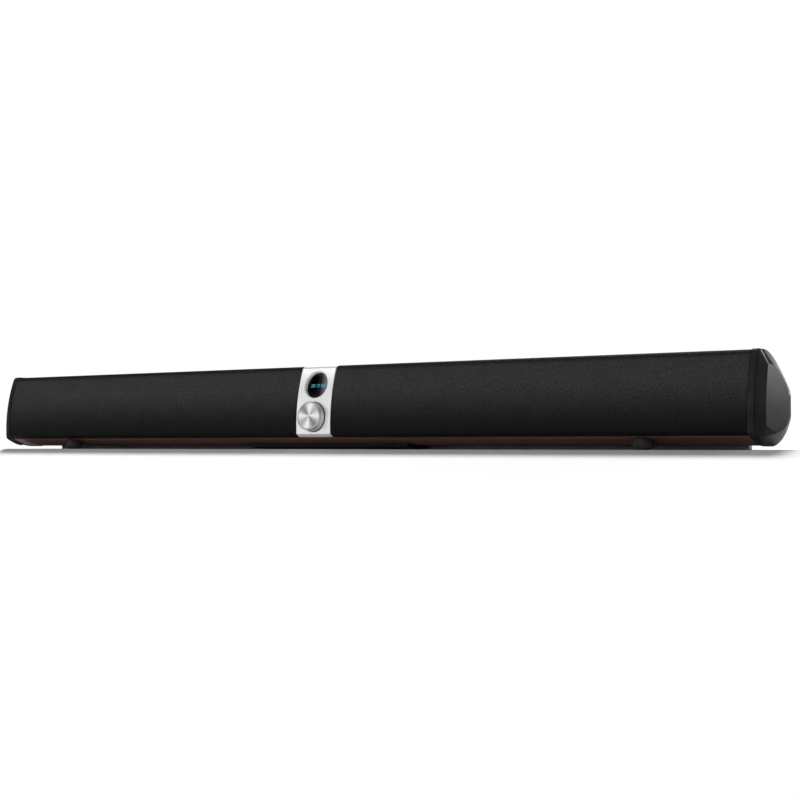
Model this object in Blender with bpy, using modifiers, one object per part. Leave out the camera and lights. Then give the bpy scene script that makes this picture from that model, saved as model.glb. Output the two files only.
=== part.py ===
"""Soundbar with a rotary control knob, modelled as separate pieces.

Axes: X runs along the bar (+X is the right end seen from the front), the front faces -Y and +Z is up.
The origin is on the shelf, under the middle of the bar's bounding box.
Sections are written in millimetres as (depth, height): depth is measured back from the foremost
line of the grille and height up from the shelf.
"""

import math

import bmesh
import bpy

MM = 0.001
GAP = 0.3
CUTTER_LENGTH = 60.0
PAST_FACE = 2.0

# Front surface: an arc that leans back, a chamfer under it and a rounded top edge.
ARC_RADIUS = 185.8
ARC_CENTRE_HEIGHT = 28.5
LOWER_CORNER_HEIGHT = 17.8
CHAMFER_END = (6.3, 14.0)
TOP_HEIGHT = 98.8
TOP_EDGE_RADIUS = 6.0
FRONT_TOP_DEPTH = 22.0
ARC_STEPS = 10
ROUND_STEPS = 4

# Veneered wrap from the top lip over the back and under to the lower lip.
WRAP_SECTION = [
    (22.4, 98.8),
    (34.0, 98.8),
    (44.0, 97.4),
    (54.5, 94.0),
    (65.0, 88.9),
    (76.5, 82.4),
    (88.0, 75.0),
    (99.5, 67.2),
    (106.5, 61.8),
    (109.4, 57.0),
    (109.4, 34.0),
    (106.6, 29.2),
    (101.5, 24.0),
    (93.0, 17.0),
    (82.0, 10.8),
    (70.0, 6.5),
    (58.0, 4.4),
    (44.0, 4.4),
    (33.0, 5.6),
    (22.5, 8.0),
    (13.5, 11.0),
    (7.3, 13.47),
]
REAR_DEPTH = 109.4
PAST_REAR_DEPTH = 112.0
REAR_MID_HEIGHT = 45.5
WALL = 6.0
HALF_LENGTH = 527.4

# End collars and faceted end caps.
COLLAR_THICKNESS = 6.5
COLLAR_PROUD = 0.8
COLLAR_BEVEL = 0.7
CAP_THICKNESS = 5.5
CAP_EDGE = 0.6
CAP_INSET = 0.7
CAP_FACE_FRONT = [(19.2, 25.1), (19.3, 38.0), (20.3, 52.0), (22.8, 68.0), (27.7, 84.1)]
CAP_FACE_TOP = [(40.7, 83.5), (52.6, 81.3), (64.6, 77.0), (76.8, 70.3), (86.5, 63.3)]
CAP_FACE_REAR = [(88.9, 57.7), (88.2, 32.4)]
CAP_FACE_UNDER = [(83.0, 25.9), (70.5, 21.7), (55.8, 18.8), (41.4, 19.8), (29.6, 22.1)]

# Grille halves.
CLOTH_THICKNESS = 0.8
FRAME_INSET = 1.1
FRAME_THICKNESS = 2.5
FRAME_BAR = 8.0
WINDOWS = 5
WINDOW_HEIGHTS = (27.0, 89.0)
WINDOW_CUT_DEPTHS = (-5.0, 30.0)
PANEL_HALF_WIDTH = 25.1

# Control panel, display and knob.
PANEL_THICKNESS = 3.0
PANEL_BEVEL = 0.5
PANEL_POST_RADIUS = 2.5
PANEL_POST_OFFSET = 21.3
PANEL_POST_HEIGHT = 57.4
PANEL_POST_LENGTH = 6.6
PANEL_POST_MIDDLE = -5.2
DISPLAY_HEIGHT = 76.4
DISPLAY_HOLE_RADIUS = 17.3
KNOB_HEIGHT = 38.1
KNOB_HOLE_RADIUS = 18.1
KNOB_RADIUS = 16.95
KNOB_REACH = 9.2

# Loudspeaker board: the front face passes through this point and leans back.
BOARD_POINT = (8.5, 20.0)
BOARD_LEAN = math.radians(8.3)
BOARD_THICKNESS = 8.0
BOARD_END_GAP = 1.0
BOARD_SPAN = (0.6, 72.8)
BOARD_WINDOW = (48.0, 66.0)
WOOFER_POSITIONS = (-345.0, -165.0, 165.0, 345.0)
TWEETER_POSITIONS = (-465.0, 465.0)
WOOFER_HOLE_RADIUS = 29.6
TWEETER_HOLE_RADIUS = 16.1
PARTITION_POSITION = 95.0
PARTITION_THICKNESS = 8.0

# Turned profiles, as (radius, height along the axis).
WOOFER_FRAME = [
    (27.6, 2.5),
    (34.0, 2.5),
    (34.0, 0.3),
    (29.2, 0.3),
    (29.2, -8.0),
    (22.0, -20.0),
    (22.0, -36.0),
    (4.0, -36.0),
    (4.0, -18.0),
    (20.5, -18.0),
    (27.6, -7.0),
]
WOOFER_CONE = [
    (0.0, -5.2),
    (4.2, -6.0),
    (7.6, -8.4),
    (21.6, 1.2),
    (23.0, 2.9),
    (24.6, 3.5),
    (26.2, 2.9),
    (27.2, 1.5),
    (27.2, 0.7),
    (26.0, 1.9),
    (24.6, 2.6),
    (23.2, 2.0),
    (22.0, 0.2),
    (8.3, -9.2),
    (8.3, -13.0),
    (7.2, -13.0),
    (7.2, -9.6),
    (0.0, -7.0),
]
TWEETER_FRAME = [
    (13.2, 2.5),
    (22.0, 2.5),
    (22.0, 0.3),
    (15.7, 0.3),
    (15.7, -14.0),
    (3.0, -14.0),
    (3.0, -4.0),
    (13.2, -4.0),
]
TWEETER_DOME = [
    (0.0, 5.4),
    (5.0, 4.8),
    (8.6, 3.1),
    (10.6, 1.0),
    (12.8, 1.4),
    (12.8, 0.6),
    (10.2, 0.2),
    (8.2, 2.4),
    (4.8, 4.1),
    (0.0, 4.7),
]
BEZEL = [(16.2, -0.9), (17.0, -0.9), (17.0, -7.4), (14.2, -7.4), (14.2, -6.2), (16.2, -6.2)]
LENS = [(0.0, -4.7), (15.5, -4.7), (15.8, -5.0), (15.8, -5.9), (0.0, -5.9)]
DISPLAY_MODULE = [(0.0, -7.8), (13.6, -7.8), (13.6, -12.4), (0.0, -12.4)]
KNOB_RIM_RADIUS = 16.3
KNOB = [
    (0.0, 8.0),
    (15.3, 8.0),
    (15.3, KNOB_REACH),
    (KNOB_RIM_RADIUS, KNOB_REACH),
    (KNOB_RADIUS, 8.6),
    (KNOB_RADIUS, -2.0),
    (14.8, -2.0),
    (14.8, 5.6),
    (5.0, 5.6),
    (5.0, -1.6),
    (2.8, -1.6),
    (2.8, 5.0),
    (0.0, 5.0),
]
KNOB_FACE = [(0.0, 8.75), (8.0, 8.85), (14.6, 9.15), (15.0, 9.0), (15.0, 8.3), (0.0, 8.3)]
SHAFT = [(0.0, 4.6), (2.0, 4.6), (2.5, 4.1), (2.5, -12.6), (0.0, -12.6)]
PLUNGER = [(0.0, -12.9), (2.2, -12.9), (2.2, -16.4), (0.0, -16.4)]
ENCODER_BUSH = (2.8, 4.5, -4.8, -11.0)
ENCODER_CASE = (13.0, 12.4, -10.8, -17.2)
ENCODER_NUT = (4.8, 7.0, -8.2, -5.8)
CARRIER = (64.0, 66.0, -8.5, -10.4)
CARRIER_BUSH_HOLE_RADIUS = 4.8
CARRIER_DISPLAY_HOLE_RADIUS = 18.4
CONTROL_BOARD = (42.0, 60.0, -17.6, -19.2)
CONTROL_MID_SHIFT = 18.5
FOOT = [
    (0.0, 17.0),
    (8.6, 17.0),
    (9.8, 12.0),
    (10.7, 8.5),
    (11.0, 5.6),
    (10.7, 3.0),
    (9.6, 1.1),
    (7.5, 0.0),
    (0.0, 0.0),
]
FOOT_OFFSET = 413.5
FOOT_DEPTH = 12.8
RAIL_DEPTHS = (73.0, 83.0)
RAIL_HALF_LENGTH = 503.0
RAIL_HEIGHT = 14.0
RAIL_BEVEL = 0.8
ROUND_SIDES = 36
KNOB_SIDES = 40
BORE_SIDES = 24
FOOT_SIDES = 24
DRIVER_SIDES = 16
PIN_SIDES = 12
POST_SIDES = 8
HEXAGON_SIDES = 6

# Electronics bay and the cover under it.
COVER_HALF_WIDTH = 118.0
COVER_THICKNESS = 3.4
COVER_DEPTHS = (24.0, 71.0)
BAY_OPENING = (160.0, (34.0, 62.0), (0.0, 14.0))
POST_RADIUS = 3.0
POST_BASE = 2.4
POST_OFFSETS = (14.0, 70.0)
POST_DEPTHS = (39.0, 57.0)
BOARD_HEIGHT = 20.0
CIRCUIT_THICKNESS = 1.6
AMP_BOARD = ((-84.0, -4.0), (33.0, 76.0))
POWER_BOARD = ((4.0, 84.0), (33.0, 76.0))
HEAT_SINK = ((-72.0, -22.0), (42.0, 64.0), 24.0)
HEAT_SINK_FINS = 8
HEAT_SINK_BASE = 3.0
TRANSFORMER = ((24.0, 62.0), (40.0, 70.0), 30.0)
TRANSFORMER_COIL = 5.0
COIL_END_INSET = 6.0
COIL_TOP_INSET = 4.0
COVER_SCREW = [(0.0, -0.3), (2.8, -0.3), (1.4, -1.8), (1.4, -7.5), (0.0, -7.5)]
COVER_SCREW_SINK = [(0.0, 0.5), (3.6, 0.5), (3.1, -0.3), (1.75, -1.9), (1.75, -9.0), (0.0, -9.0)]
COVER_SCREW_OFFSET = 85.0
COVER_SCREW_DEPTH = 51.0

# Rear tray with the sockets.
TRAY_OUTER = (150.0, 20.0)
TRAY_FLANGE = (165.4, 20.0, 2.0)
TRAY_WINDOW_DEPTH = 100.0
TRAY_FACE_DEPTH = 109.1
TRAY_FLOOR_DEPTH = 97.4
TRAY_BACK_DEPTH = 95.4
TRAY_HOLE_DEPTHS = (92.0, 99.0)
FACE_STEP = 0.2
TRAY_WALL = 1.8
TRAY_SCREW_OFFSET = 79.0
TRAY_SCREW = [(0.0, 0.0), (2.6, 0.0), (2.8, -0.2), (1.3, -1.7), (1.3, -9.0), (0.0, -9.0)]
TRAY_SCREW_SINK = [(0.0, 1.0), (3.4, 1.0), (3.2, -0.2), (1.65, -1.9), (1.65, -10.0), (0.0, -10.0)]
MAINS_INLET = (-54.0, 18.0, 12.0)
MAINS_POCKET = (15.0, 8.4, 12.0)
MAINS_PIN_RADIUS = 1.2
MAINS_PIN_SPACING = 8.6
MAINS_PIN_LENGTH = 9.0
MAINS_PIN_ROOT = 2.0
MAINS_BACK_DEPTH = 82.0
SWITCH_POSITION = -27.0
SWITCH_BODY = (18.6, 12.2)
SWITCH_BEZEL = (20.4, 13.8, 1.2)
SWITCH_POCKET = (17.4, 10.8)
SWITCH_DEPTHS = (86.0, 90.0, 98.9)
ROCKER_PIVOT_DEPTH = 95.3
ROCKER_TILT = math.radians(8.0)
ROCKER_OUTLINE = [(-7.8, 3.3), (0.0, 2.2), (7.8, 3.3), (7.5, -1.6), (4.0, -3.6), (-4.0, -3.6), (-7.5, -1.6)]
ROCKER_WIDTH = 10.0
OPTICAL_POSITION = 2.0
OPTICAL_BODY = (10.4, 11.6)
OPTICAL_POCKET = (8.0, 8.2, 7.0)
COAX_POSITION = 22.0
AUX_POSITION = 41.0
SUB_POSITION = 59.0
SOCKET_FACE_DEPTH = 98.7
SOCKET_BACK_DEPTH = 84.0
PHONO_SOCKET = [
    (0.0, -3.0),
    (1.7, -3.0),
    (1.7, 8.0),
    (3.8, 8.0),
    (4.1, 7.6),
    (4.1, -2.3),
    (6.2, -2.3),
    (6.2, -12.0),
    (0.0, -12.0),
]
AUX_SOCKET = [
    (0.0, -11.0),
    (1.8, -11.0),
    (1.8, 2.0),
    (3.4, 2.0),
    (3.7, 1.7),
    (3.7, -2.3),
    (5.4, -2.3),
    (5.4, -13.0),
    (0.0, -13.0),
]
INPUT_BOARD = ((-10.0, 72.0), (30.0, 60.0), 80.4)

# Keyhole plates let into the back.
PLATE_OFFSET = 300.0
PLATE_SIZE = (45.4, 19.6)
PLATE_DEPTHS = (108.1, 110.2)
PLATE_REBATE_DEPTH = 107.8
PLATE_POCKET_DEPTH = 100.0
KEYHOLE_RADIUS = 4.6
KEYHOLE_SLOT = 2.4
KEYHOLE_RISE = 7.0
KEYHOLE_HEIGHT = 42.2
KEYHOLE_STEPS = 16
KEYHOLE_POCKET = (13.0, 17.0)

COLOURS = {
    "walnut": ((0.055, 0.030, 0.020), 0.42, 0.0),
    "board": ((0.20, 0.15, 0.10), 0.80, 0.0),
    "cloth": ((0.028, 0.028, 0.030), 0.95, 0.0),
    "black_plastic": ((0.018, 0.018, 0.020), 0.38, 0.0),
    "gloss_black": ((0.008, 0.008, 0.010), 0.12, 0.0),
    "silver": ((0.80, 0.80, 0.81), 0.32, 0.35),
    "bright": ((0.72, 0.72, 0.74), 0.18, 1.0),
    "aluminium": ((0.78, 0.78, 0.80), 0.26, 1.0),
    "lens": ((0.004, 0.005, 0.006), 0.05, 0.0),
    "rubber": ((0.020, 0.020, 0.021), 0.70, 0.0),
    "cone": ((0.030, 0.030, 0.034), 0.60, 0.0),
    "fabric_dome": ((0.040, 0.036, 0.034), 0.75, 0.0),
    "steel": ((0.55, 0.55, 0.56), 0.35, 1.0),
    "circuit": ((0.02, 0.10, 0.04), 0.50, 0.0),
    "heat_sink": ((0.35, 0.35, 0.36), 0.40, 1.0),
    "ferrite": ((0.05, 0.045, 0.04), 0.60, 0.0),
}


def arc_depth(height):
    """Depth of the front arc at a height."""
    rise = height - ARC_CENTRE_HEIGHT
    return ARC_RADIUS - math.sqrt(ARC_RADIUS**2 - rise**2)


def arc_tilt(height):
    """How far the front's outward normal points up at a height."""
    return math.asin((height - ARC_CENTRE_HEIGHT) / ARC_RADIUS)


def along(start, tilt, distance):
    """Section point at a distance along an outward normal with that tilt."""
    return (start[0] - math.cos(tilt) * distance, start[1] + math.sin(tilt) * distance)


KNOB_POINT = (arc_depth(KNOB_HEIGHT), KNOB_HEIGHT)
DISPLAY_POINT = (arc_depth(DISPLAY_HEIGHT), DISPLAY_HEIGHT)
DISPLAY_TILT = arc_tilt(DISPLAY_HEIGHT)
FOREMOST = along(KNOB_POINT, BOARD_LEAN, KNOB_REACH)[0] - KNOB_RIM_RADIUS * math.sin(BOARD_LEAN)
REARMOST = REAR_DEPTH + COLLAR_PROUD
ORIGIN_DEPTH = (FOREMOST + REARMOST) / 2


def place(x, depth, height):
    """World position in metres."""
    return (x * MM, (depth - ORIGIN_DEPTH) * MM, height * MM)


def front_section():
    """Grille line from the chamfer's end, up the arc and over the top edge."""
    low = math.asin((LOWER_CORNER_HEIGHT - ARC_CENTRE_HEIGHT) / ARC_RADIUS)
    round_height = TOP_HEIGHT - TOP_EDGE_RADIUS
    inner_radius = ARC_RADIUS - TOP_EDGE_RADIUS
    high = math.asin((round_height - ARC_CENTRE_HEIGHT) / inner_radius)
    points = [CHAMFER_END]
    for step in range(ARC_STEPS + 1):
        angle = low + (high - low) * step / ARC_STEPS
        depth = ARC_RADIUS * (1 - math.cos(angle))
        points.append((depth, ARC_CENTRE_HEIGHT + ARC_RADIUS * math.sin(angle)))
    round_depth = ARC_RADIUS - inner_radius * math.cos(high)
    for step in range(1, ROUND_STEPS + 1):
        angle = high + (math.pi / 2 - high) * step / ROUND_STEPS
        depth = round_depth - TOP_EDGE_RADIUS * math.cos(angle)
        points.append((depth, round_height + TOP_EDGE_RADIUS * math.sin(angle)))
    points.append((FRONT_TOP_DEPTH, TOP_HEIGHT))
    return points


def mitred(before, here, after, inset):
    """Section point moved inwards so that both edges that meet there move by the inset."""
    normals = []
    for start, end in ((before, here), (here, after)):
        length = math.dist(start, end)
        normals.append(((end[1] - start[1]) / length, (start[0] - end[0]) / length))
    first, second = normals
    share = 1 + first[0] * second[0] + first[1] * second[1]
    return (
        here[0] + inset * (first[0] + second[0]) / share,
        here[1] + inset * (first[1] + second[1]) / share,
    )


def inset_line(points, inset):
    """Open section line moved inwards; a negative inset moves it outwards."""
    moved = []
    for index, here in enumerate(points):
        before = points[index - 1] if index else None
        after = points[index + 1] if index + 1 < len(points) else None
        if before is None:
            before = (2 * here[0] - after[0], 2 * here[1] - after[1])
        if after is None:
            after = (2 * here[0] - before[0], 2 * here[1] - before[1])
        moved.append(mitred(before, here, after, inset))
    return moved


def inset_outline(points, inset):
    """Closed section outline moved inwards; a negative inset moves it outwards."""
    count = len(points)
    return [
        mitred(points[index - 1], here, points[(index + 1) % count], inset)
        for index, here in enumerate(points)
    ]


def behind(points, line_point, lean):
    """Part of a closed section outline that lies behind a leaning line."""
    def side(point):
        across = (point[0] - line_point[0]) * math.cos(lean)
        return across - (point[1] - line_point[1]) * math.sin(lean)

    kept = []
    for index, here in enumerate(points):
        before = points[index - 1]
        if side(before) * side(here) < 0:
            share = side(before) / (side(before) - side(here))
            kept.append(tuple(a + (b - a) * share for a, b in zip(before, here)))
        if side(here) >= 0:
            kept.append(here)
    return kept


def underside_height(depth):
    """Height of the wrap's lower side at a depth."""
    for start, end in zip(WRAP_SECTION, WRAP_SECTION[1:]):
        if start[1] < REAR_MID_HEIGHT and end[0] <= depth <= start[0]:
            share = (depth - end[0]) / (start[0] - end[0])
            return end[1] + (start[1] - end[1]) * share
    raise ValueError("no underside at that depth")


FRONT = front_section()
BODY = FRONT + WRAP_SECTION

for existing in list(bpy.data.objects):
    bpy.data.objects.remove(existing, do_unlink=True)

parts = bpy.data.collections.new("soundbar")
cutters = bpy.data.collections.new("soundbar_cutters")
cutters.hide_render = True
bpy.context.scene.collection.children.link(parts)
bpy.context.scene.collection.children.link(cutters)


def material_of(name, look):
    colour, roughness, metallic = COLOURS[look]
    made = bpy.data.materials.new(name)
    made.use_nodes = True
    shader = made.node_tree.nodes["Principled BSDF"]
    shader.inputs["Base Color"].default_value = (*colour, 1.0)
    shader.inputs["Roughness"].default_value = roughness
    shader.inputs["Metallic"].default_value = metallic
    made.diffuse_color = (*colour, 1.0)
    return made


def add(name, data, look):
    """New object in the parts collection, or a hidden cutter when it has no look."""
    made = bpy.data.objects.new(name, data)
    if look is None:
        made.hide_render = True
        made.display_type = "WIRE"
        cutters.objects.link(made)
        return made
    data.materials.clear()
    data.materials.append(material_of(name, look))
    parts.objects.link(made)
    return made


def smooth(mesh, angle=35):
    mesh.shade_smooth()
    mesh.set_sharp_from_angle(angle=math.radians(angle))


def box(name, size, centre, look=None, lean=0.0):
    """Box of a size in millimetres, leaning back about X."""
    bm = bmesh.new()
    bmesh.ops.create_cube(bm, size=1.0)
    bmesh.ops.scale(bm, vec=[side * MM for side in size], verts=bm.verts)
    mesh = bpy.data.meshes.new(name)
    bm.to_mesh(mesh)
    bm.free()
    made = add(name, mesh, look)
    made.location = centre
    made.rotation_euler.x = -lean
    return made


def span_box(name, x_span, depth_span, height_span, look=None):
    """Upright box between pairs of millimetre limits."""
    spans = (x_span, depth_span, height_span)
    middle = [sum(span) / 2 for span in spans]
    return box(name, [span[1] - span[0] for span in spans], place(*middle), look)


def cylinder(name, radius, length, centre, look=None, tilt=None, sides=ROUND_SIDES):
    """Cylinder upright, or along a front normal with the given tilt."""
    bm = bmesh.new()
    bmesh.ops.create_cone(
        bm,
        cap_ends=True,
        segments=sides,
        radius1=radius * MM,
        radius2=radius * MM,
        depth=length * MM,
    )
    mesh = bpy.data.meshes.new(name)
    bm.to_mesh(mesh)
    bm.free()
    smooth(mesh)
    made = add(name, mesh, look)
    made.location = centre
    if tilt is not None:
        made.rotation_euler.x = math.pi / 2 - tilt
    return made


def bore(name, radius, centre, tilt, sides=BORE_SIDES):
    """Long round cutter along a front normal."""
    return cylinder(name, radius, CUTTER_LENGTH, centre, None, tilt, sides)


def turned(name, profile, centre, look=None, tilt=None, sides=ROUND_SIDES, closed=True):
    """Profile turned about local Z by a Screw; a closed profile is a ring that clears the axis."""
    mesh = bpy.data.meshes.new(name)
    bm = bmesh.new()
    verts = [bm.verts.new((radius * MM, 0, height * MM)) for radius, height in profile]
    for start, end in zip(verts, verts[1:]):
        bm.edges.new((start, end))
    if closed:
        bm.edges.new((verts[-1], verts[0]))
    bm.to_mesh(mesh)
    bm.free()
    made = add(name, mesh, look)
    screw = made.modifiers.new("turn", "SCREW")
    screw.axis = "Z"
    screw.steps = sides
    screw.render_steps = sides
    screw.use_merge_vertices = True
    screw.merge_threshold = 0.00001
    screw.use_smooth_shade = True
    made.location = centre
    if tilt is not None:
        made.rotation_euler.x = math.pi / 2 - tilt
    return made


def turned_whole(name, profile, centre, look=None, tilt=None, sides=ROUND_SIDES):
    """Turned solid whose profile starts and ends on the axis."""
    return turned(name, profile, centre, look, tilt, sides, closed=False)


def outline_prism(name, outlines, thickness, look, location, rotation):
    """Flat outline, with any holes, extruded to a thickness: a filled 2D curve made into a mesh."""
    curve = bpy.data.curves.new(name, "CURVE")
    curve.dimensions = "2D"
    curve.fill_mode = "BOTH"
    curve.extrude = thickness * MM / 2
    for outline in outlines:
        spline = curve.splines.new("POLY")
        spline.points.add(len(outline) - 1)
        for point, (across, up) in zip(spline.points, outline):
            point.co = (across * MM, up * MM, 0, 1)
        spline.use_cyclic_u = True
    drawn = bpy.data.objects.new(name + "_outline", curve)
    bpy.context.scene.collection.objects.link(drawn)
    bpy.context.view_layer.update()
    graph = bpy.context.evaluated_depsgraph_get()
    mesh = bpy.data.meshes.new_from_object(drawn.evaluated_get(graph))
    bpy.data.objects.remove(drawn, do_unlink=True)
    bm = bmesh.new()
    bm.from_mesh(mesh)
    bmesh.ops.remove_doubles(bm, verts=bm.verts, dist=0.00001)
    bmesh.ops.recalc_face_normals(bm, faces=bm.faces)
    bm.to_mesh(mesh)
    bm.free()
    smooth(mesh)
    made = add(name, mesh, look)
    made.location = location
    made.rotation_euler = rotation
    return made


def section_prism(name, outline, x_span, look=None):
    """Section outline run along X between two limits."""
    middle = sum(x_span) / 2
    thickness = x_span[1] - x_span[0]
    turn = (math.pi / 2, 0, math.pi / 2)
    return outline_prism(name, [outline], thickness, look, place(middle, 0, 0), turn)


def sheet(name, line, x_span, thickness, look):
    """Open section line run along X and given a thickness inwards."""
    mesh = bpy.data.meshes.new(name)
    bm = bmesh.new()
    verts = [bm.verts.new(place(x_span[0], *point)) for point in line]
    edges = [bm.edges.new(pair) for pair in zip(verts, verts[1:])]
    grown = bmesh.ops.extrude_edge_only(bm, edges=edges)["geom"]
    moved = [item for item in grown if isinstance(item, bmesh.types.BMVert)]
    bmesh.ops.translate(bm, verts=moved, vec=((x_span[1] - x_span[0]) * MM, 0, 0))
    bmesh.ops.recalc_face_normals(bm, faces=bm.faces)
    bm.faces.ensure_lookup_table()
    rise = verts[1].co - verts[0].co
    outward = (0, -rise.z, rise.y)
    shared = next(face for face in bm.faces if verts[0] in face.verts)
    if sum(a * b for a, b in zip(shared.normal, outward)) < 0:
        bmesh.ops.reverse_faces(bm, faces=bm.faces)
    bm.to_mesh(mesh)
    bm.free()
    smooth(mesh)
    made = add(name, mesh, look)
    thick = made.modifiers.new("thickness", "SOLIDIFY")
    thick.thickness = thickness * MM
    thick.offset = -1.0
    thick.use_even_offset = True
    return made


def combine(target, other, operation):
    step = target.modifiers.new(other.name, "BOOLEAN")
    step.operation = operation
    step.object = other
    step.solver = "EXACT"


def cut(target, *tools):
    for tool in tools:
        combine(target, tool, "DIFFERENCE")


def join(target, *tools):
    for tool in tools:
        combine(target, tool, "UNION")


def bevel(target, width, segments=2, angle=50):
    edge = target.modifiers.new("edges", "BEVEL")
    edge.width = width * MM
    edge.segments = segments
    edge.limit_method = "ANGLE"
    edge.angle_limit = math.radians(angle)


def rear_box(name, x, size, depth_span, look=None):
    """Box centred on the rear panel's height, between two depths."""
    half_width, half_height = size[0] / 2, size[1] / 2
    heights = (REAR_MID_HEIGHT - half_height, REAR_MID_HEIGHT + half_height)
    return span_box(name, (x - half_width, x + half_width), depth_span, heights, look)


def rear_facing(made):
    """Turns a piece made upright so that its axis points out of the back."""
    made.rotation_euler.x = -math.pi / 2
    return made


def sided(name, sign):
    return name + ("_left" if sign < 0 else "_right")


def mirrored_span(span, sign):
    return tuple(sorted(sign * limit for limit in span))


# Cabinet wrap with its openings.
shell = sheet("cabinet_shell", WRAP_SECTION, (-HALF_LENGTH, HALF_LENGTH), WALL, "walnut")
opening_width, opening_depths, opening_heights = BAY_OPENING
window_size = [side + 2 * GAP for side in TRAY_OUTER]
rebate_size = [side + 2 * GAP for side in TRAY_FLANGE[:2]]
rebate_depth = TRAY_FACE_DEPTH - TRAY_FLANGE[2] - GAP
cut(
    shell,
    span_box("bay_opening", (-opening_width / 2, opening_width / 2), opening_depths, opening_heights),
    rear_box("tray_window", 0, window_size, (TRAY_WINDOW_DEPTH, PAST_REAR_DEPTH)),
    rear_box("tray_rebate", 0, rebate_size, (rebate_depth, PAST_REAR_DEPTH)),
)

# Loudspeaker board behind the grilles.
board_up = (math.sin(BOARD_LEAN), math.cos(BOARD_LEAN))
board_mid = sum(BOARD_SPAN) / 2


def on_board(rise, out):
    """Section point at a rise up the board's front face and a distance out from it."""
    start = (BOARD_POINT[0] + board_up[0] * rise, BOARD_POINT[1] + board_up[1] * rise)
    return along(start, BOARD_LEAN, out)


baffle = box(
    "front_baffle",
    (2 * (HALF_LENGTH - BOARD_END_GAP), BOARD_THICKNESS, BOARD_SPAN[1] - BOARD_SPAN[0]),
    place(0, *on_board(board_mid, -BOARD_THICKNESS / 2)),
    "board",
    BOARD_LEAN,
)
window_size = (BOARD_WINDOW[0], 3 * BOARD_THICKNESS, BOARD_WINDOW[1])
window_centre = place(0, *on_board(board_mid, -BOARD_THICKNESS / 2))
cut(baffle, box("board_window", window_size, window_centre, None, BOARD_LEAN))
for number, x in enumerate(WOOFER_POSITIONS, 1):
    centre = place(x, *on_board(board_mid, 0))
    name = f"woofer_hole_{number}"
    cut(baffle, bore(name, WOOFER_HOLE_RADIUS, centre, BOARD_LEAN, DRIVER_SIDES))
    turned(f"woofer_frame_{number}", WOOFER_FRAME, centre, "steel", BOARD_LEAN, DRIVER_SIDES)
    turned_whole(f"woofer_cone_{number}", WOOFER_CONE, centre, "cone", BOARD_LEAN, DRIVER_SIDES)
for x in TWEETER_POSITIONS:
    centre = place(x, *on_board(board_mid, 0))
    name = sided("tweeter_hole", x)
    cut(baffle, bore(name, TWEETER_HOLE_RADIUS, centre, BOARD_LEAN, DRIVER_SIDES))
    turned(sided("tweeter_frame", x), TWEETER_FRAME, centre, "black_plastic", BOARD_LEAN, DRIVER_SIDES)
    turned_whole(sided("tweeter_dome", x), TWEETER_DOME, centre, "fabric_dome", BOARD_LEAN, DRIVER_SIDES)

# Pieces that come once at each end.
inner_outline = inset_line(WRAP_SECTION, WALL + GAP)
back_of_board = on_board(0, -BOARD_THICKNESS - GAP)
partition_outline = behind(inner_outline, back_of_board, BOARD_LEAN)
collar_outline = inset_outline(BODY, -COLLAR_PROUD)
collar_start = HALF_LENGTH + GAP
cap_start = collar_start + COLLAR_THICKNESS + GAP
window_width = (HALF_LENGTH - GAP - PANEL_HALF_WIDTH - GAP - (WINDOWS + 1) * FRAME_BAR) / WINDOWS
grille_span = (PANEL_HALF_WIDTH + GAP, HALF_LENGTH)


def end_cap(name, sign):
    """Faceted cap: its edge ring follows the body and narrows to a smaller flat face."""
    ring = inset_outline(BODY, CAP_INSET)
    face = CAP_FACE_FRONT + CAP_FACE_TOP + CAP_FACE_REAR + CAP_FACE_UNDER
    xs = [cap_start, cap_start + CAP_EDGE, cap_start + CAP_THICKNESS]
    bm = bmesh.new()
    base = [bm.verts.new(place(sign * xs[0], *point)) for point in ring]
    edge = [bm.verts.new(place(sign * xs[1], *point)) for point in ring]
    top = [bm.verts.new(place(sign * xs[2], *point)) for point in face]
    bm.faces.new(base)
    bm.faces.new(top)
    count = len(ring)
    for index in range(count):
        after = (index + 1) % count
        bm.faces.new((base[index], base[after], edge[after], edge[index]))
    corner = 1
    lowest = len(face) - 3
    ring_at = corner
    face_at = 0
    while ring_at < corner + count or face_at < lowest:
        near = ring[ring_at % count]
        far = face[min(face_at, lowest)]
        ring_after = ring[(ring_at + 1) % count]
        face_after = face[min(face_at + 1, lowest)]
        step_ring = face_at >= lowest
        if ring_at < corner + count and face_at < lowest:
            step_ring = math.dist(ring_after, far) < math.dist(near, face_after)
        a = edge[ring_at % count]
        b = top[min(face_at, lowest)]
        if step_ring:
            bm.faces.new((a, edge[(ring_at + 1) % count], b))
            ring_at += 1
        else:
            bm.faces.new((a, top[face_at + 1], b))
            face_at += 1
    for index in range(lowest, len(face)):
        bm.faces.new((edge[corner], top[index], top[(index + 1) % len(face)]))
    bmesh.ops.recalc_face_normals(bm, faces=bm.faces)
    mesh = bpy.data.meshes.new(name)
    bm.to_mesh(mesh)
    bm.free()
    smooth(mesh, 12)
    return add(name, mesh, "gloss_black")


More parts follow.
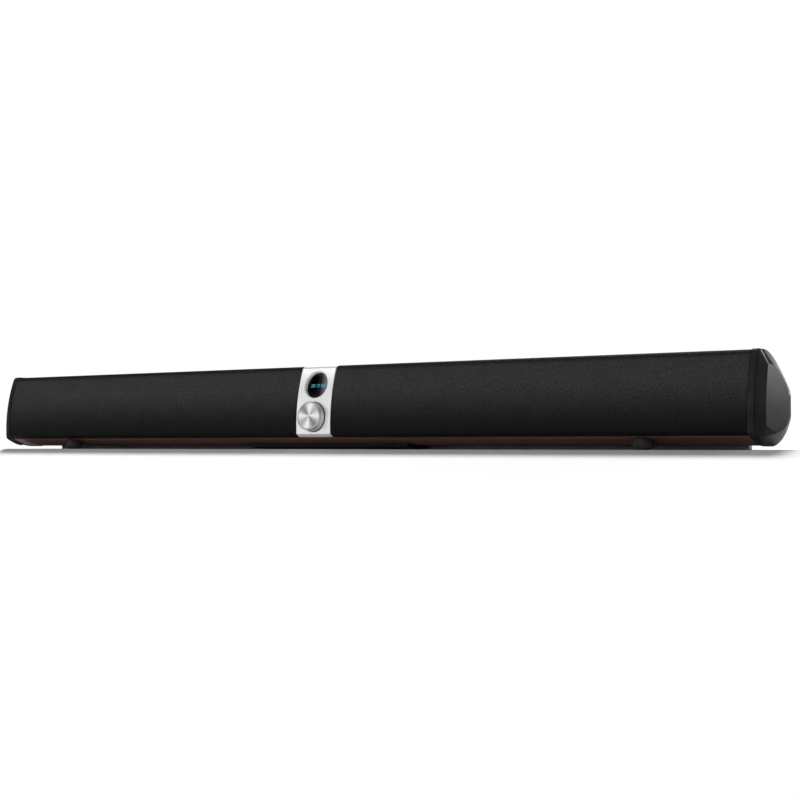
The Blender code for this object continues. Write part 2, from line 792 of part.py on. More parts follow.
for sign in (-1, 1):
    partition_span = (
        PARTITION_POSITION - PARTITION_THICKNESS / 2,
        PARTITION_POSITION + PARTITION_THICKNESS / 2,
    )
    section_prism(sided("partition", sign), partition_outline, mirrored_span(partition_span, sign), "board")
    collar_span = mirrored_span((collar_start, collar_start + COLLAR_THICKNESS), sign)
    collar = section_prism(sided("end_collar", sign), collar_outline, collar_span, "black_plastic")
    bevel(collar, COLLAR_BEVEL, 1)
    end_cap(sided("end_cap", sign), sign)

    span = mirrored_span(grille_span, sign)
    sheet(sided("grille_cloth", sign), FRONT, span, CLOTH_THICKNESS, "cloth")
    frame_line = inset_line(FRONT, FRAME_INSET)
    frame = sheet(sided("grille_frame", sign), frame_line, span, FRAME_THICKNESS, "black_plastic")
    for number in range(WINDOWS):
        inner = grille_span[0] + FRAME_BAR + number * (window_width + FRAME_BAR)
        window_span = mirrored_span((inner, inner + window_width), sign)
        name = sided(f"grille_window_{number}", sign)
        cut(frame, span_box(name, window_span, WINDOW_CUT_DEPTHS, WINDOW_HEIGHTS))

    plate_x = sign * PLATE_OFFSET
    rebate_size = [side + 2 * GAP for side in PLATE_SIZE]
    rebate_depths = (PLATE_REBATE_DEPTH, PAST_REAR_DEPTH)
    pocket_depths = (PLATE_POCKET_DEPTH, PAST_REAR_DEPTH)
    cut(
        shell,
        rear_box(sided("plate_rebate", sign), plate_x, rebate_size, rebate_depths),
        rear_box(sided("plate_pocket", sign), plate_x, KEYHOLE_POCKET, pocket_depths),
    )


def keyhole_outlines():
    """Plate outline and its keyhole, across and up from the rear panel's mid height."""
    half_width, half_height = PLATE_SIZE[0] / 2, PLATE_SIZE[1] / 2
    outer = [
        (-half_width, -half_height),
        (half_width, -half_height),
        (half_width, half_height),
        (-half_width, half_height),
    ]
    low = KEYHOLE_HEIGHT - REAR_MID_HEIGHT
    opening = math.asin(KEYHOLE_SLOT / KEYHOLE_RADIUS)
    hole = []
    for step in range(KEYHOLE_STEPS + 1):
        angle = math.pi / 2 + opening + (2 * math.pi - 2 * opening) * step / KEYHOLE_STEPS
        hole.append((KEYHOLE_RADIUS * math.cos(angle), low + KEYHOLE_RADIUS * math.sin(angle)))
    for step in range(KEYHOLE_STEPS // 2 + 1):
        angle = 2 * math.pi * step / KEYHOLE_STEPS
        hole.append((KEYHOLE_SLOT * math.cos(angle), low + KEYHOLE_RISE + KEYHOLE_SLOT * math.sin(angle)))
    return [outer, hole]


for sign in (-1, 1):
    outline_prism(
        sided("wall_plate", sign),
        keyhole_outlines(),
        PLATE_DEPTHS[1] - PLATE_DEPTHS[0],
        "steel",
        place(sign * PLATE_OFFSET, sum(PLATE_DEPTHS) / 2, REAR_MID_HEIGHT),
        (math.pi / 2, 0, 0),
    )

# Control panel between the grilles.
panel = sheet(
    "control_panel",
    FRONT,
    (-PANEL_HALF_WIDTH, PANEL_HALF_WIDTH),
    PANEL_THICKNESS,
    "silver",
)
knob_centre = place(0, *KNOB_POINT)
display_centre = place(0, *DISPLAY_POINT)
bevel(panel, PANEL_BEVEL)
post_start = (arc_depth(PANEL_POST_HEIGHT), PANEL_POST_HEIGHT)
for sign in (-1, 1):
    centre = place(sign * PANEL_POST_OFFSET, *along(post_start, BOARD_LEAN, PANEL_POST_MIDDLE))
    name = sided("panel_post", sign)
    join(panel, cylinder(name, PANEL_POST_RADIUS, PANEL_POST_LENGTH, centre, None, BOARD_LEAN, PIN_SIDES))
cut(
    panel,
    bore("knob_hole", KNOB_HOLE_RADIUS, knob_centre, BOARD_LEAN, ROUND_SIDES),
    bore("display_hole", DISPLAY_HOLE_RADIUS, display_centre, DISPLAY_TILT, ROUND_SIDES),
)
turned("display_bezel", BEZEL, display_centre, "bright", DISPLAY_TILT)
turned_whole("display_lens", LENS, display_centre, "lens", DISPLAY_TILT)
turned_whole("display_module", DISPLAY_MODULE, display_centre, "circuit", DISPLAY_TILT, DRIVER_SIDES)

# Knob and encoder share one axis that points out of the panel.
turned_whole("volume_knob", KNOB, knob_centre, "bright", BOARD_LEAN, KNOB_SIDES)
turned_whole("knob_face", KNOB_FACE, knob_centre, "aluminium", BOARD_LEAN, KNOB_SIDES)
turned_whole("encoder_shaft", SHAFT, knob_centre, "steel", BOARD_LEAN, DRIVER_SIDES)
turned_whole("encoder_plunger", PLUNGER, knob_centre, "black_plastic", BOARD_LEAN, DRIVER_SIDES)


def knob_axis_point(out, up=0.0):
    """Section point along the knob's axis, moved up across it."""
    start = along(KNOB_POINT, BOARD_LEAN, out)
    return (start[0] + board_up[0] * up, start[1] + board_up[1] * up)


bush_bore, bush_radius, bush_front, bush_back = ENCODER_BUSH
width, height, case_front, case_back = ENCODER_CASE
case_centre = place(0, *knob_axis_point((case_front + case_back) / 2))
encoder = box("encoder_body", (width, case_front - case_back, height), case_centre, "steel", BOARD_LEAN)
bush_centre = place(0, *knob_axis_point((bush_front + bush_back) / 2))
bush_length = bush_front - bush_back
join(encoder, cylinder("encoder_bush", bush_radius, bush_length, bush_centre, None, BOARD_LEAN, BORE_SIDES))
cut(encoder, bore("encoder_bore", bush_bore, knob_centre, BOARD_LEAN))

nut_bore, nut_radius, nut_back, nut_front = ENCODER_NUT
nut_centre = place(0, *knob_axis_point((nut_back + nut_front) / 2))
nut_length = nut_front - nut_back
nut = cylinder("encoder_nut", nut_radius, nut_length, nut_centre, "steel", BOARD_LEAN, HEXAGON_SIDES)
cut(nut, bore("nut_bore", nut_bore, nut_centre, BOARD_LEAN))

width, height, carrier_front, carrier_back = CARRIER
carrier_centre = place(0, *knob_axis_point((carrier_front + carrier_back) / 2, CONTROL_MID_SHIFT))
carrier_size = (width, carrier_front - carrier_back, height)
carrier = box("control_carrier", carrier_size, carrier_centre, "black_plastic", BOARD_LEAN)
cut(
    carrier,
    bore("carrier_bush_hole", CARRIER_BUSH_HOLE_RADIUS, knob_centre, BOARD_LEAN),
    bore("carrier_display_hole", CARRIER_DISPLAY_HOLE_RADIUS, display_centre, DISPLAY_TILT),
)
width, height, board_front, board_back = CONTROL_BOARD
board_centre = place(0, *knob_axis_point((board_front + board_back) / 2, CONTROL_MID_SHIFT))
box("control_board", (width, board_front - board_back, height), board_centre, "circuit", BOARD_LEAN)

# Rubber feet at the front and a rubber rail at the back, cut to the slope of the underside.
body_span = (-HALF_LENGTH - PAST_FACE, HALF_LENGTH + PAST_FACE)
underside = section_prism("underside", inset_outline(BODY, -GAP), body_span)
for sign in (-1, 1):
    centre = place(sign * FOOT_OFFSET, FOOT_DEPTH, 0)
    foot = turned_whole(sided("foot_front", sign), FOOT, centre, "rubber", None, FOOT_SIDES)
    cut(foot, underside)
rail_front, rail_back = RAIL_DEPTHS
rail_outline = [
    (rail_front, RAIL_BEVEL),
    (rail_front + RAIL_BEVEL, 0.0),
    (rail_back - RAIL_BEVEL, 0.0),
    (rail_back, RAIL_BEVEL),
    (rail_back, RAIL_HEIGHT),
    (rail_front, RAIL_HEIGHT),
]
rail = section_prism("rear_foot_rail", rail_outline, (-RAIL_HALF_LENGTH, RAIL_HALF_LENGTH), "rubber")
cut(rail, underside)

# Cover under the electronics bay, with posts that carry the two boards.
cover_front, cover_back = COVER_DEPTHS
cover_line = [point for point in WRAP_SECTION if point[1] < LOWER_CORNER_HEIGHT]
cover_line = [point for point in cover_line if cover_front < point[0] < cover_back]
cover_line.insert(0, (cover_back, underside_height(cover_back)))
cover_line.append((cover_front, underside_height(cover_front)))
cover_line = inset_line(cover_line, -GAP - COVER_THICKNESS)
cover_span = (-COVER_HALF_WIDTH, COVER_HALF_WIDTH)
cover = sheet("bottom_cover", cover_line, cover_span, COVER_THICKNESS, "black_plastic")
post_top = BOARD_HEIGHT - GAP
for number, (x, depth) in enumerate((x, depth) for x in POST_OFFSETS for depth in POST_DEPTHS):
    for sign in (-1, 1):
        centre = place(sign * x, depth, (post_top + POST_BASE) / 2)
        name = sided(f"board_post_{number}", sign)
        join(cover, cylinder(name, POST_RADIUS, post_top - POST_BASE, centre, None, None, POST_SIDES))
cover_face = underside_height(COVER_SCREW_DEPTH) - GAP - COVER_THICKNESS
for sign in (-1, 1):
    centre = place(sign * COVER_SCREW_OFFSET, COVER_SCREW_DEPTH, cover_face)
    sink = turned_whole(sided("cover_screw_sink", sign), COVER_SCREW_SINK, centre, None, None, DRIVER_SIDES)
    sink.rotation_euler.x = math.pi
    cut(cover, sink)
    cut(shell, sink)
    screw = turned_whole(sided("cover_screw", sign), COVER_SCREW, centre, "steel", None, DRIVER_SIDES)
    screw.rotation_euler.x = math.pi

# Circuit boards in the bay.
circuit_heights = (BOARD_HEIGHT, BOARD_HEIGHT + CIRCUIT_THICKNESS)
component_base = BOARD_HEIGHT + CIRCUIT_THICKNESS + GAP
span_box("amp_board", *AMP_BOARD, circuit_heights, "circuit")
span_box("power_board", *POWER_BOARD, circuit_heights, "circuit")
sink_xs, sink_depths, sink_height = HEAT_SINK
sink_heights = (component_base, component_base + sink_height)
heat_sink = span_box("heat_sink", sink_xs, sink_depths, sink_heights, "heat_sink")
fin_pitch = (sink_xs[1] - sink_xs[0]) / (HEAT_SINK_FINS - 0.5)
for number in range(HEAT_SINK_FINS - 1):
    slot_start = sink_xs[0] + (number + 0.5) * fin_pitch
    slot_span = (slot_start, slot_start + fin_pitch / 2)
    slot_depths = (sink_depths[0] - PAST_FACE, sink_depths[1] + PAST_FACE)
    slot_heights = (sink_heights[0] + HEAT_SINK_BASE, sink_heights[1] + PAST_FACE)
    cut(heat_sink, span_box(f"fin_slot_{number}", slot_span, slot_depths, slot_heights))
core_xs, core_depths, core_height = TRANSFORMER
core_heights = (component_base, component_base + core_height)
transformer = span_box("transformer", core_xs, core_depths, core_heights, "ferrite")
coil_xs = (core_xs[0] + COIL_END_INSET, core_xs[1] - COIL_END_INSET)
coil_depths = (core_depths[0] - TRANSFORMER_COIL, core_depths[1] + TRANSFORMER_COIL)
coil_heights = (core_heights[0] + COIL_TOP_INSET, core_heights[1] - COIL_TOP_INSET)
join(transformer, span_box("transformer_coil", coil_xs, coil_depths, coil_heights))

# Rear tray and its sockets.
tray_depths = (TRAY_BACK_DEPTH, TRAY_FACE_DEPTH)
tray = rear_box("terminal_tray", 0, TRAY_OUTER, tray_depths, "black_plastic")
flange_depths = (TRAY_FACE_DEPTH - TRAY_FLANGE[2], TRAY_FACE_DEPTH)
join(tray, rear_box("tray_flange", 0, (TRAY_FLANGE[0], TRAY_FLANGE[1] - FACE_STEP), flange_depths))
pocket_size = [side - 2 * TRAY_WALL for side in TRAY_OUTER]
cut(tray, rear_box("tray_pocket", 0, pocket_size, (TRAY_FLOOR_DEPTH, PAST_REAR_DEPTH)))
x, width, height = MAINS_INLET
cut(tray, rear_box("mains_hole", x, (width + 2 * GAP, height + 2 * GAP), TRAY_HOLE_DEPTHS))
inlet_depths = (MAINS_BACK_DEPTH, SOCKET_FACE_DEPTH)
inlet = rear_box("mains_inlet", x, (width, height), inlet_depths, "black_plastic")
pocket_width, pocket_height, pocket_reach = MAINS_POCKET
pocket_depths = (SOCKET_FACE_DEPTH - pocket_reach, SOCKET_FACE_DEPTH + PAST_FACE)
cut(inlet, rear_box("mains_pocket", x, (pocket_width, pocket_height), pocket_depths))
for sign in (-1, 1):
    pin_x = x + sign * MAINS_PIN_SPACING / 2
    centre = place(pin_x, pocket_depths[0] + (MAINS_PIN_LENGTH - MAINS_PIN_ROOT) / 2, REAR_MID_HEIGHT)
    name = sided("mains_pin", sign)
    pin_length = MAINS_PIN_LENGTH + MAINS_PIN_ROOT
    pin = cylinder(name, MAINS_PIN_RADIUS, pin_length, centre, None, None, PIN_SIDES)
    join(inlet, rear_facing(pin))

switch_back, switch_floor, switch_face = SWITCH_DEPTHS
hole_size = [side + 2 * GAP for side in SWITCH_BODY]
cut(tray, rear_box("switch_hole", SWITCH_POSITION, hole_size, TRAY_HOLE_DEPTHS))
body_depths = (switch_back, switch_face - FACE_STEP)
switch = rear_box("power_switch_frame", SWITCH_POSITION, SWITCH_BODY, body_depths, "black_plastic")
bezel_depths = (switch_face - SWITCH_BEZEL[2], switch_face)
join(switch, rear_box("switch_bezel", SWITCH_POSITION, SWITCH_BEZEL[:2], bezel_depths))
cut(switch, rear_box("switch_pocket", SWITCH_POSITION, SWITCH_POCKET, (switch_floor, PAST_REAR_DEPTH)))
outline_prism(
    "power_rocker",
    [ROCKER_OUTLINE],
    ROCKER_WIDTH,
    "gloss_black",
    place(SWITCH_POSITION, ROCKER_PIVOT_DEPTH, REAR_MID_HEIGHT),
    (0, 0, ROCKER_TILT),
)

hole_size = [side + 2 * GAP for side in OPTICAL_BODY]
cut(tray, rear_box("optical_hole", OPTICAL_POSITION, hole_size, TRAY_HOLE_DEPTHS))
socket_depths = (SOCKET_BACK_DEPTH, SOCKET_FACE_DEPTH)
optical = rear_box("optical_socket", OPTICAL_POSITION, OPTICAL_BODY, socket_depths, "black_plastic")
reach = (SOCKET_FACE_DEPTH - OPTICAL_POCKET[2], SOCKET_FACE_DEPTH + PAST_FACE)
cut(optical, rear_box("optical_pocket", OPTICAL_POSITION, OPTICAL_POCKET[:2], reach))
ROUND_SOCKETS = (
    ("coax_socket", COAX_POSITION, PHONO_SOCKET),
    ("aux_socket", AUX_POSITION, AUX_SOCKET),
    ("sub_out_socket", SUB_POSITION, PHONO_SOCKET),
)
for name, x, profile in ROUND_SOCKETS:
    centre = place(x, TRAY_FLOOR_DEPTH, REAR_MID_HEIGHT)
    barrel_radius = profile[4][0]
    hole = bore(name + "_hole", barrel_radius + GAP, centre, None)
    cut(tray, rear_facing(hole))
    rear_facing(turned_whole(name, profile, centre, "steel", None, BORE_SIDES))
for sign in (-1, 1):
    centre = place(sign * TRAY_SCREW_OFFSET, TRAY_FACE_DEPTH, REAR_MID_HEIGHT)
    sink = turned_whole(sided("tray_screw_sink", sign), TRAY_SCREW_SINK, centre, None, None, DRIVER_SIDES)
    cut(tray, rear_facing(sink))
    cut(shell, sink)
    rear_facing(turned_whole(sided("tray_screw", sign), TRAY_SCREW, centre, "steel", None, DRIVER_SIDES))
board_xs, board_heights, board_depth = INPUT_BOARD
span_box("input_board", board_xs, (board_depth, board_depth + CIRCUIT_THICKNESS), board_heights, "circuit")
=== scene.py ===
"""Looks of the soundbar: the visible pieces in fine mesh, their materials, and a plain pale studio.

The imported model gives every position. Sections are in millimetres as (depth, height): depth runs back
from the foremost line of the grille and height up from the floor.
"""

import math

import bmesh
import bpy
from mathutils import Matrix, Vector


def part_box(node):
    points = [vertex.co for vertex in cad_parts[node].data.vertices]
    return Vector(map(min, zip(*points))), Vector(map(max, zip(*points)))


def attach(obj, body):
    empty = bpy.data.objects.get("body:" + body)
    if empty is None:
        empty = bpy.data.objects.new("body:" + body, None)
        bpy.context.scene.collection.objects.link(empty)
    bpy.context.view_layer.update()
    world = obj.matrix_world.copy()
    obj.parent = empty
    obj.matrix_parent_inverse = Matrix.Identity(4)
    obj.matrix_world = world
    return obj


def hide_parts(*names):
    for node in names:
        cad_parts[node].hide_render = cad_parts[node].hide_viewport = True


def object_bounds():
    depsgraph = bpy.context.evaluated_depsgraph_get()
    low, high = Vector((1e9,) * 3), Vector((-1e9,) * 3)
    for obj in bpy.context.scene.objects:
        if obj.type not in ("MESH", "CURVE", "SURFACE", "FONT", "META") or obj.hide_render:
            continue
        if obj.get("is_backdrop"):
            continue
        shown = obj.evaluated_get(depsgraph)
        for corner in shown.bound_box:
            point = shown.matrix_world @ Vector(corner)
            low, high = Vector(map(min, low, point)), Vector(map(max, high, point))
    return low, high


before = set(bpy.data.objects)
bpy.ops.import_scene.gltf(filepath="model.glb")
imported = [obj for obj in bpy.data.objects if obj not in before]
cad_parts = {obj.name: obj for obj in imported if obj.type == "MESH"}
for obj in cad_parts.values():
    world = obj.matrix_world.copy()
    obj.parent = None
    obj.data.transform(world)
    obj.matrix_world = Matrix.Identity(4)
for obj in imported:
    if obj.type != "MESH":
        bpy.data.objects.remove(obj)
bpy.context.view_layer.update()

MM = 0.001
BAR = "soundbar"

# ---------------------------------------------------------------- section of the bar
ARC_RADIUS = 185.8
ARC_CENTRE_HEIGHT = 28.5
LOWER_CORNER_HEIGHT = 17.8
CHAMFER_END = (6.3, 14.0)
TOP_HEIGHT = 98.8
TOP_EDGE_RADIUS = 6.0
FRONT_TOP_DEPTH = 22.0
COLLAR_PROUD = 0.8
WRAP_SECTION = [
    (22.4, 98.8), (28.0, 98.8), (34.0, 98.8), (44.0, 97.4), (54.5, 94.0), (65.0, 88.9),
    (76.5, 82.4), (88.0, 75.0), (99.5, 67.2), (106.5, 61.8), (109.4, 57.0), (109.4, 54.0),
    (109.4, 45.5), (109.4, 37.0), (109.4, 34.0), (106.6, 29.2), (101.5, 24.0), (93.0, 17.0),
    (82.0, 10.8), (70.0, 6.5), (58.0, 4.4), (51.0, 4.4), (44.0, 4.4), (33.0, 5.6),
    (22.5, 8.0), (13.5, 11.0), (7.3, 13.47),
]
FRONT_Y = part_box("end_collar_right")[0].y + COLLAR_PROUD * MM
BOARD_LEAN = math.radians(8.3)


def place(x, depth, height):
    return Vector((x * MM, FRONT_Y + depth * MM, height * MM))


def arc_depth(height):
    rise = height - ARC_CENTRE_HEIGHT
    return ARC_RADIUS - math.sqrt(ARC_RADIUS**2 - rise**2)


def arc_tilt(height):
    return math.asin((height - ARC_CENTRE_HEIGHT) / ARC_RADIUS)


def front_line(arc_steps, round_steps):
    """Front line from the chamfer's end up the arc and over the top edge."""
    low = math.asin((LOWER_CORNER_HEIGHT - ARC_CENTRE_HEIGHT) / ARC_RADIUS)
    round_height = TOP_HEIGHT - TOP_EDGE_RADIUS
    inner = ARC_RADIUS - TOP_EDGE_RADIUS
    high = math.asin((round_height - ARC_CENTRE_HEIGHT) / inner)
    corner = (ARC_RADIUS * (1 - math.cos(low)), LOWER_CORNER_HEIGHT)
    chamfer = [
        tuple(a + (b - a) * share for a, b in zip(CHAMFER_END, corner))
        for share in (0.0, 0.3, 0.6, 0.85)
    ]
    # The corner between chamfer and arc is drawn as a small round.
    bend = [
        (corner[0] + 0.32, corner[1] - 0.16),
        (corner[0] + 0.06, corner[1] + 0.12),
        (corner[0] - 0.04, corner[1] + 0.62),
    ]
    points = chamfer + bend
    for step in range(1, arc_steps + 1):
        angle = low + (high - low) * step / arc_steps
        height = ARC_CENTRE_HEIGHT + ARC_RADIUS * math.sin(angle)
        points.append((ARC_RADIUS * (1 - math.cos(angle)), height))
    round_depth = ARC_RADIUS - inner * math.cos(high)
    for step in range(1, round_steps + 1):
        angle = high + (math.pi / 2 - high) * step / round_steps
        depth = round_depth - TOP_EDGE_RADIUS * math.cos(angle)
        points.append((depth, round_height + TOP_EDGE_RADIUS * math.sin(angle)))
    points.append((FRONT_TOP_DEPTH, TOP_HEIGHT))
    return points


def eased_value(a, b, c, d, t):
    """Cubic from b to c, shaped by the values before and after them."""
    bend = (2 * a - 5 * b + 4 * c - d) * t * t
    return 0.5 * (2 * b + (c - a) * t + bend + (3 * b - a - 3 * c + d) * t**3)


def eased(points, steps):
    """Smooth line through all the points of an open line."""
    out = []
    for index in range(len(points) - 1):
        before = points[max(index - 1, 0)]
        here, after = points[index], points[index + 1]
        beyond = points[min(index + 2, len(points) - 1)]
        for step in range(steps):
            quads = zip(before, here, after, beyond)
            out.append(tuple(eased_value(*values, step / steps) for values in quads))
    out.append(points[-1])
    return out


def distances(line):
    """Distance along an open line to each of its points."""
    out = [0.0]
    for start, end in zip(line, line[1:]):
        out.append(out[-1] + math.dist(start, end))
    return out


def mitred(before, here, after, inset):
    """The point here moved to the right of the line's direction, so that both its sides move by inset."""
    normals = []
    for start, end in ((before, here), (here, after)):
        length = math.dist(start, end)
        normals.append(((end[1] - start[1]) / length, (start[0] - end[0]) / length))
    first, second = normals
    share = 1 + first[0] * second[0] + first[1] * second[1]
    return (
        here[0] + inset * (first[0] + second[0]) / share,
        here[1] + inset * (first[1] + second[1]) / share,
    )


def inset_line(points, inset):
    """Open line moved sideways by inset."""
    moved = []
    for index, here in enumerate(points):
        if index == 0:
            after = points[1]
            before = (2 * here[0] - after[0], 2 * here[1] - after[1])
        elif index == len(points) - 1:
            before = points[-2]
            after = (2 * here[0] - before[0], 2 * here[1] - before[1])
        else:
            before, after = points[index - 1], points[index + 1]
        moved.append(mitred(before, here, after, inset))
    return moved


def inset_outline(points, inset):
    """Closed outline made smaller by inset."""
    count = len(points)
    return [
        mitred(points[index - 1], here, points[(index + 1) % count], inset)
        for index, here in enumerate(points)
    ]


FRONT = front_line(26, 8)
WRAP = eased(WRAP_SECTION, 3)
WRAP_THICKNESS = 6.0
WRAP_INSIDE = eased(inset_line(WRAP_SECTION, WRAP_THICKNESS), 3)
BODY = FRONT + WRAP

# ---------------------------------------------------------------- materials


class Look:
    """A procedural material built up node by node."""

    def __init__(self, name, colour, roughness, metallic=0.0, **constants):
        self.made = bpy.data.materials.new(name)
        self.made.use_nodes = True
        self.tree = self.made.node_tree
        self.shader = self.tree.nodes["Principled BSDF"]
        self.set("Base Color", (*colour, 1.0))
        self.set("Roughness", roughness)
        self.set("Metallic", metallic)
        for key, value in constants.items():
            self.set(key.replace("_", " "), value)
        self.height = None

    def set(self, socket, value):
        self.shader.inputs[socket].default_value = value

    def link(self, output, target):
        self.tree.links.new(output, target)

    def add(self, kind, **inputs):
        made = self.tree.nodes.new(kind)
        for key, value in inputs.items():
            # i0, i1 ... are inputs by number, for nodes with several of one name.
            socket = int(key[1:]) if key[0] == "i" else key.replace("_", " ")
            self.feed(made.inputs[socket], value)
        return made

    def feed(self, target, value):
        if isinstance(value, bpy.types.NodeSocket):
            self.link(value, target)
        else:
            target.default_value = value

    def math(self, operation, first, second=0.0):
        made = self.tree.nodes.new("ShaderNodeMath")
        made.operation = operation
        self.feed(made.inputs[0], first)
        self.feed(made.inputs[1], second)
        return made.outputs[0]

    def coordinates(self, kind="Object", scale=(1, 1, 1)):
        source = self.tree.nodes.new("ShaderNodeTexCoord").outputs[kind]
        mapped = self.add("ShaderNodeMapping", Vector=source, Scale=scale)
        return mapped.outputs[0]

    def noise(self, coordinates, scale, detail=3.0, roughness=0.55, distortion=0.0):
        made = self.add("ShaderNodeTexNoise", Vector=coordinates, Scale=scale, Detail=detail)
        self.feed(made.inputs["Roughness"], roughness)
        self.feed(made.inputs["Distortion"], distortion)
        return made.outputs[0]

    def ramp(self, factor, *stops):
        made = self.tree.nodes.new("ShaderNodeValToRGB")
        self.link(factor, made.inputs[0])
        elements = made.color_ramp.elements
        while len(elements) < len(stops):
            elements.new(0.5)
        for element, (position, colour) in zip(elements, stops):
            element.position = position
            element.color = (*colour, 1.0)
        return made.outputs[0]

    def span(self, factor, low, high, from_low=0.0, from_high=1.0):
        made = self.add("ShaderNodeMapRange", i0=factor, i1=from_low, i2=from_high, i3=low, i4=high)
        return made.outputs[0]

    def mixed(self, factor, first, second, blend="MIX"):
        """Colour mix of first and second; a colour is a socket or three numbers."""
        made = self.tree.nodes.new("ShaderNodeMix")
        made.data_type = "RGBA"
        made.blend_type = blend
        self.feed(made.inputs[0], factor)
        for index, value in ((6, first), (7, second)):
            self.feed(made.inputs[index], (*value, 1.0) if isinstance(value, tuple) else value)
        return made.outputs[2]

    def colour(self, output):
        self.link(output, self.shader.inputs["Base Color"])

    def roughness(self, output):
        self.link(output, self.shader.inputs["Roughness"])

    def bump(self, height, distance, strength):
        """Adds a bump on top of those before it."""
        made = self.add("ShaderNodeBump", Height=height, Distance=distance, Strength=strength)
        if self.height is not None:
            self.link(self.height, made.inputs["Normal"])
        self.height = made.outputs[0]
        self.link(self.height, self.shader.inputs["Normal"])


YARN_PITCH = 0.00085
PAINTED_SHADING_SPAN = 0.1  # length of the front line, in metres, that the cloth's painted light and shade run along


def cloth_look():
    """Fine plain weave of black yarn with a faint lighter fleck, and painted light and shade up the
    front.
    """
    look = Look(
        "speaker_cloth",
        (0.002, 0.002, 0.002),
        0.45,
        Specular_IOR_Level=0.012,
        Sheen_Weight=0.006,
        Sheen_Roughness=0.45,
        Sheen_Tint=(0.85, 0.88, 1.0, 1.0),
    )
    yarn = look.coordinates("UV")
    axes = look.add("ShaderNodeSeparateXYZ", Vector=yarn).outputs
    turn = 2 * math.pi / YARN_PITCH
    across = look.math("MULTIPLY", axes[0], turn)
    along = look.math("MULTIPLY", axes[1], turn)
    weave = look.math("MULTIPLY", look.math("SINE", across), look.math("SINE", along))
    warp = look.math("ABSOLUTE", look.math("SINE", look.math("MULTIPLY", across, 0.5)))
    weft = look.math("ABSOLUTE", look.math("SINE", look.math("MULTIPLY", along, 0.5)))
    over = look.math("GREATER_THAN", weave, 0.0)
    under = look.math("SUBTRACT", 1.0, over)
    height = look.math("ADD", look.math("MULTIPLY", over, warp), look.math("MULTIPLY", under, weft))
    fleck = look.noise(yarn, 760, 2.0, 0.65)
    mottle = look.noise(yarn, 300, 3.0, 0.7)
    patch = look.noise(yarn, 42, 3.0, 0.5)
    # Painted light and shade up the front: dark at the chamfer, palest on the crown, dark again over the
    # top edge.
    stretch = look.ramp(
        look.math("DIVIDE", axes[1], PAINTED_SHADING_SPAN),
        (0.05, (0.0085, 0.0085, 0.0085)),
        (0.22, (0.0135, 0.0135, 0.0135)),
        (0.36, (0.0225, 0.0225, 0.0225)),
        (0.50, (0.0340, 0.0340, 0.0340)),
        (0.62, (0.0415, 0.0415, 0.0420)),
        (0.82, (0.0410, 0.0410, 0.0415)),
        (0.88, (0.0110, 0.0110, 0.0115)),
    )
    fine = look.span(fleck, 0.65, 1.50, 0.3, 0.72)
    speck = look.math("MULTIPLY", fine, look.span(mottle, 0.80, 1.22, 0.3, 0.7))
    speck = look.math("MULTIPLY", speck, look.span(patch, 0.94, 1.06, 0.3, 0.7))
    grey = look.add("ShaderNodeCombineXYZ", X=speck, Y=speck, Z=speck).outputs[0]
    look.colour(look.mixed(1.0, stretch, grey, "MULTIPLY"))
    look.roughness(look.span(fleck, 0.52, 0.40))
    look.bump(height, 0.00016, 0.55)
    look.bump(fleck, 0.00022, 0.5)
    return look.made


def walnut_look():
    """Dark walnut veneer with its grain along the bar, under a satin coat."""
    look = Look(
        "walnut_veneer",
        (0.06, 0.03, 0.02),
        0.45,
        Specular_IOR_Level=0.3,
        Coat_Weight=0.10,
        Coat_Roughness=0.25,
    )
    broad = look.noise(look.coordinates("Object", (1.4, 26, 26)), 1.0, 4.0, 0.55, 0.6)
    rings = look.noise(look.coordinates("Object", (3.2, 95, 95)), 1.0, 6.0, 0.6, 0.9)
    fibre = look.noise(look.coordinates("Object", (14, 620, 620)), 1.0, 4.0, 0.6)
    pores = look.noise(look.coordinates("Object", (46, 1500, 1500)), 1.0, 2.0, 0.5)
    grain = look.ramp(
        rings,
        (0.28, (0.055, 0.023, 0.016)),
        (0.46, (0.145, 0.062, 0.043)),
        (0.60, (0.235, 0.101, 0.070)),
        (0.78, (0.100, 0.043, 0.030)),
    )
    toned = look.mixed(look.span(broad, 0.0, 0.65, 0.3, 0.7), grain, (0.088, 0.038, 0.027))
    fibred = look.mixed(look.span(fibre, 0.0, 0.5, 0.35, 0.75), toned, (0.044, 0.019, 0.013))
    pit = look.span(pores, 1.0, 0.0, 0.30, 0.40)
    look.colour(look.mixed(look.math("MULTIPLY", pit, 0.7), fibred, (0.008, 0.005, 0.004)))
    look.roughness(look.span(fibre, 0.40, 0.56))
    look.bump(look.math("SUBTRACT", fibre, pit), 0.00010, 0.35)
    return look.made


def moulded_look(name, colour, roughness, grain=2600, depth=0.00006, spread=0.10, **constants):
    """Moulded plastic: fine spark texture, slow tone change and slightly polished raised edges."""
    look = Look(name, colour, roughness, **constants)
    where = look.coordinates("Object")
    fine = look.noise(where, grain, 2.0, 0.6)
    slow = look.noise(where, 38, 3.0, 0.5)
    lighter = tuple(min(1.0, 1.35 * c + 0.004) for c in colour)
    darker = tuple(0.8 * c for c in colour)
    look.colour(look.ramp(slow, (0.3, darker), (0.7, lighter)))
    edge = look.ramp(
        look.add("ShaderNodeNewGeometry").outputs["Pointiness"],
        (0.495, (0, 0, 0)),
        (0.56, (1, 1, 1)),
    )
    worn = look.math("MULTIPLY", edge, -0.06)
    varied = look.span(slow, roughness - spread / 2, roughness + spread / 2, 0.3, 0.7)
    look.roughness(look.math("ADD", varied, worn))
    look.bump(fine, depth, 0.4)
    return look.made


def cap_look(name, colour, roughness, specular):
    """Plastic of one facet: nearly no grain, and a specular level that sets how much sky it shows."""
    return moulded_look(name, colour, roughness, 3200, 0.00001, 0.04, Specular_IOR_Level=specular)


CAP_FACE_REFLECTION_HEIGHTS = (0.019, 0.085)


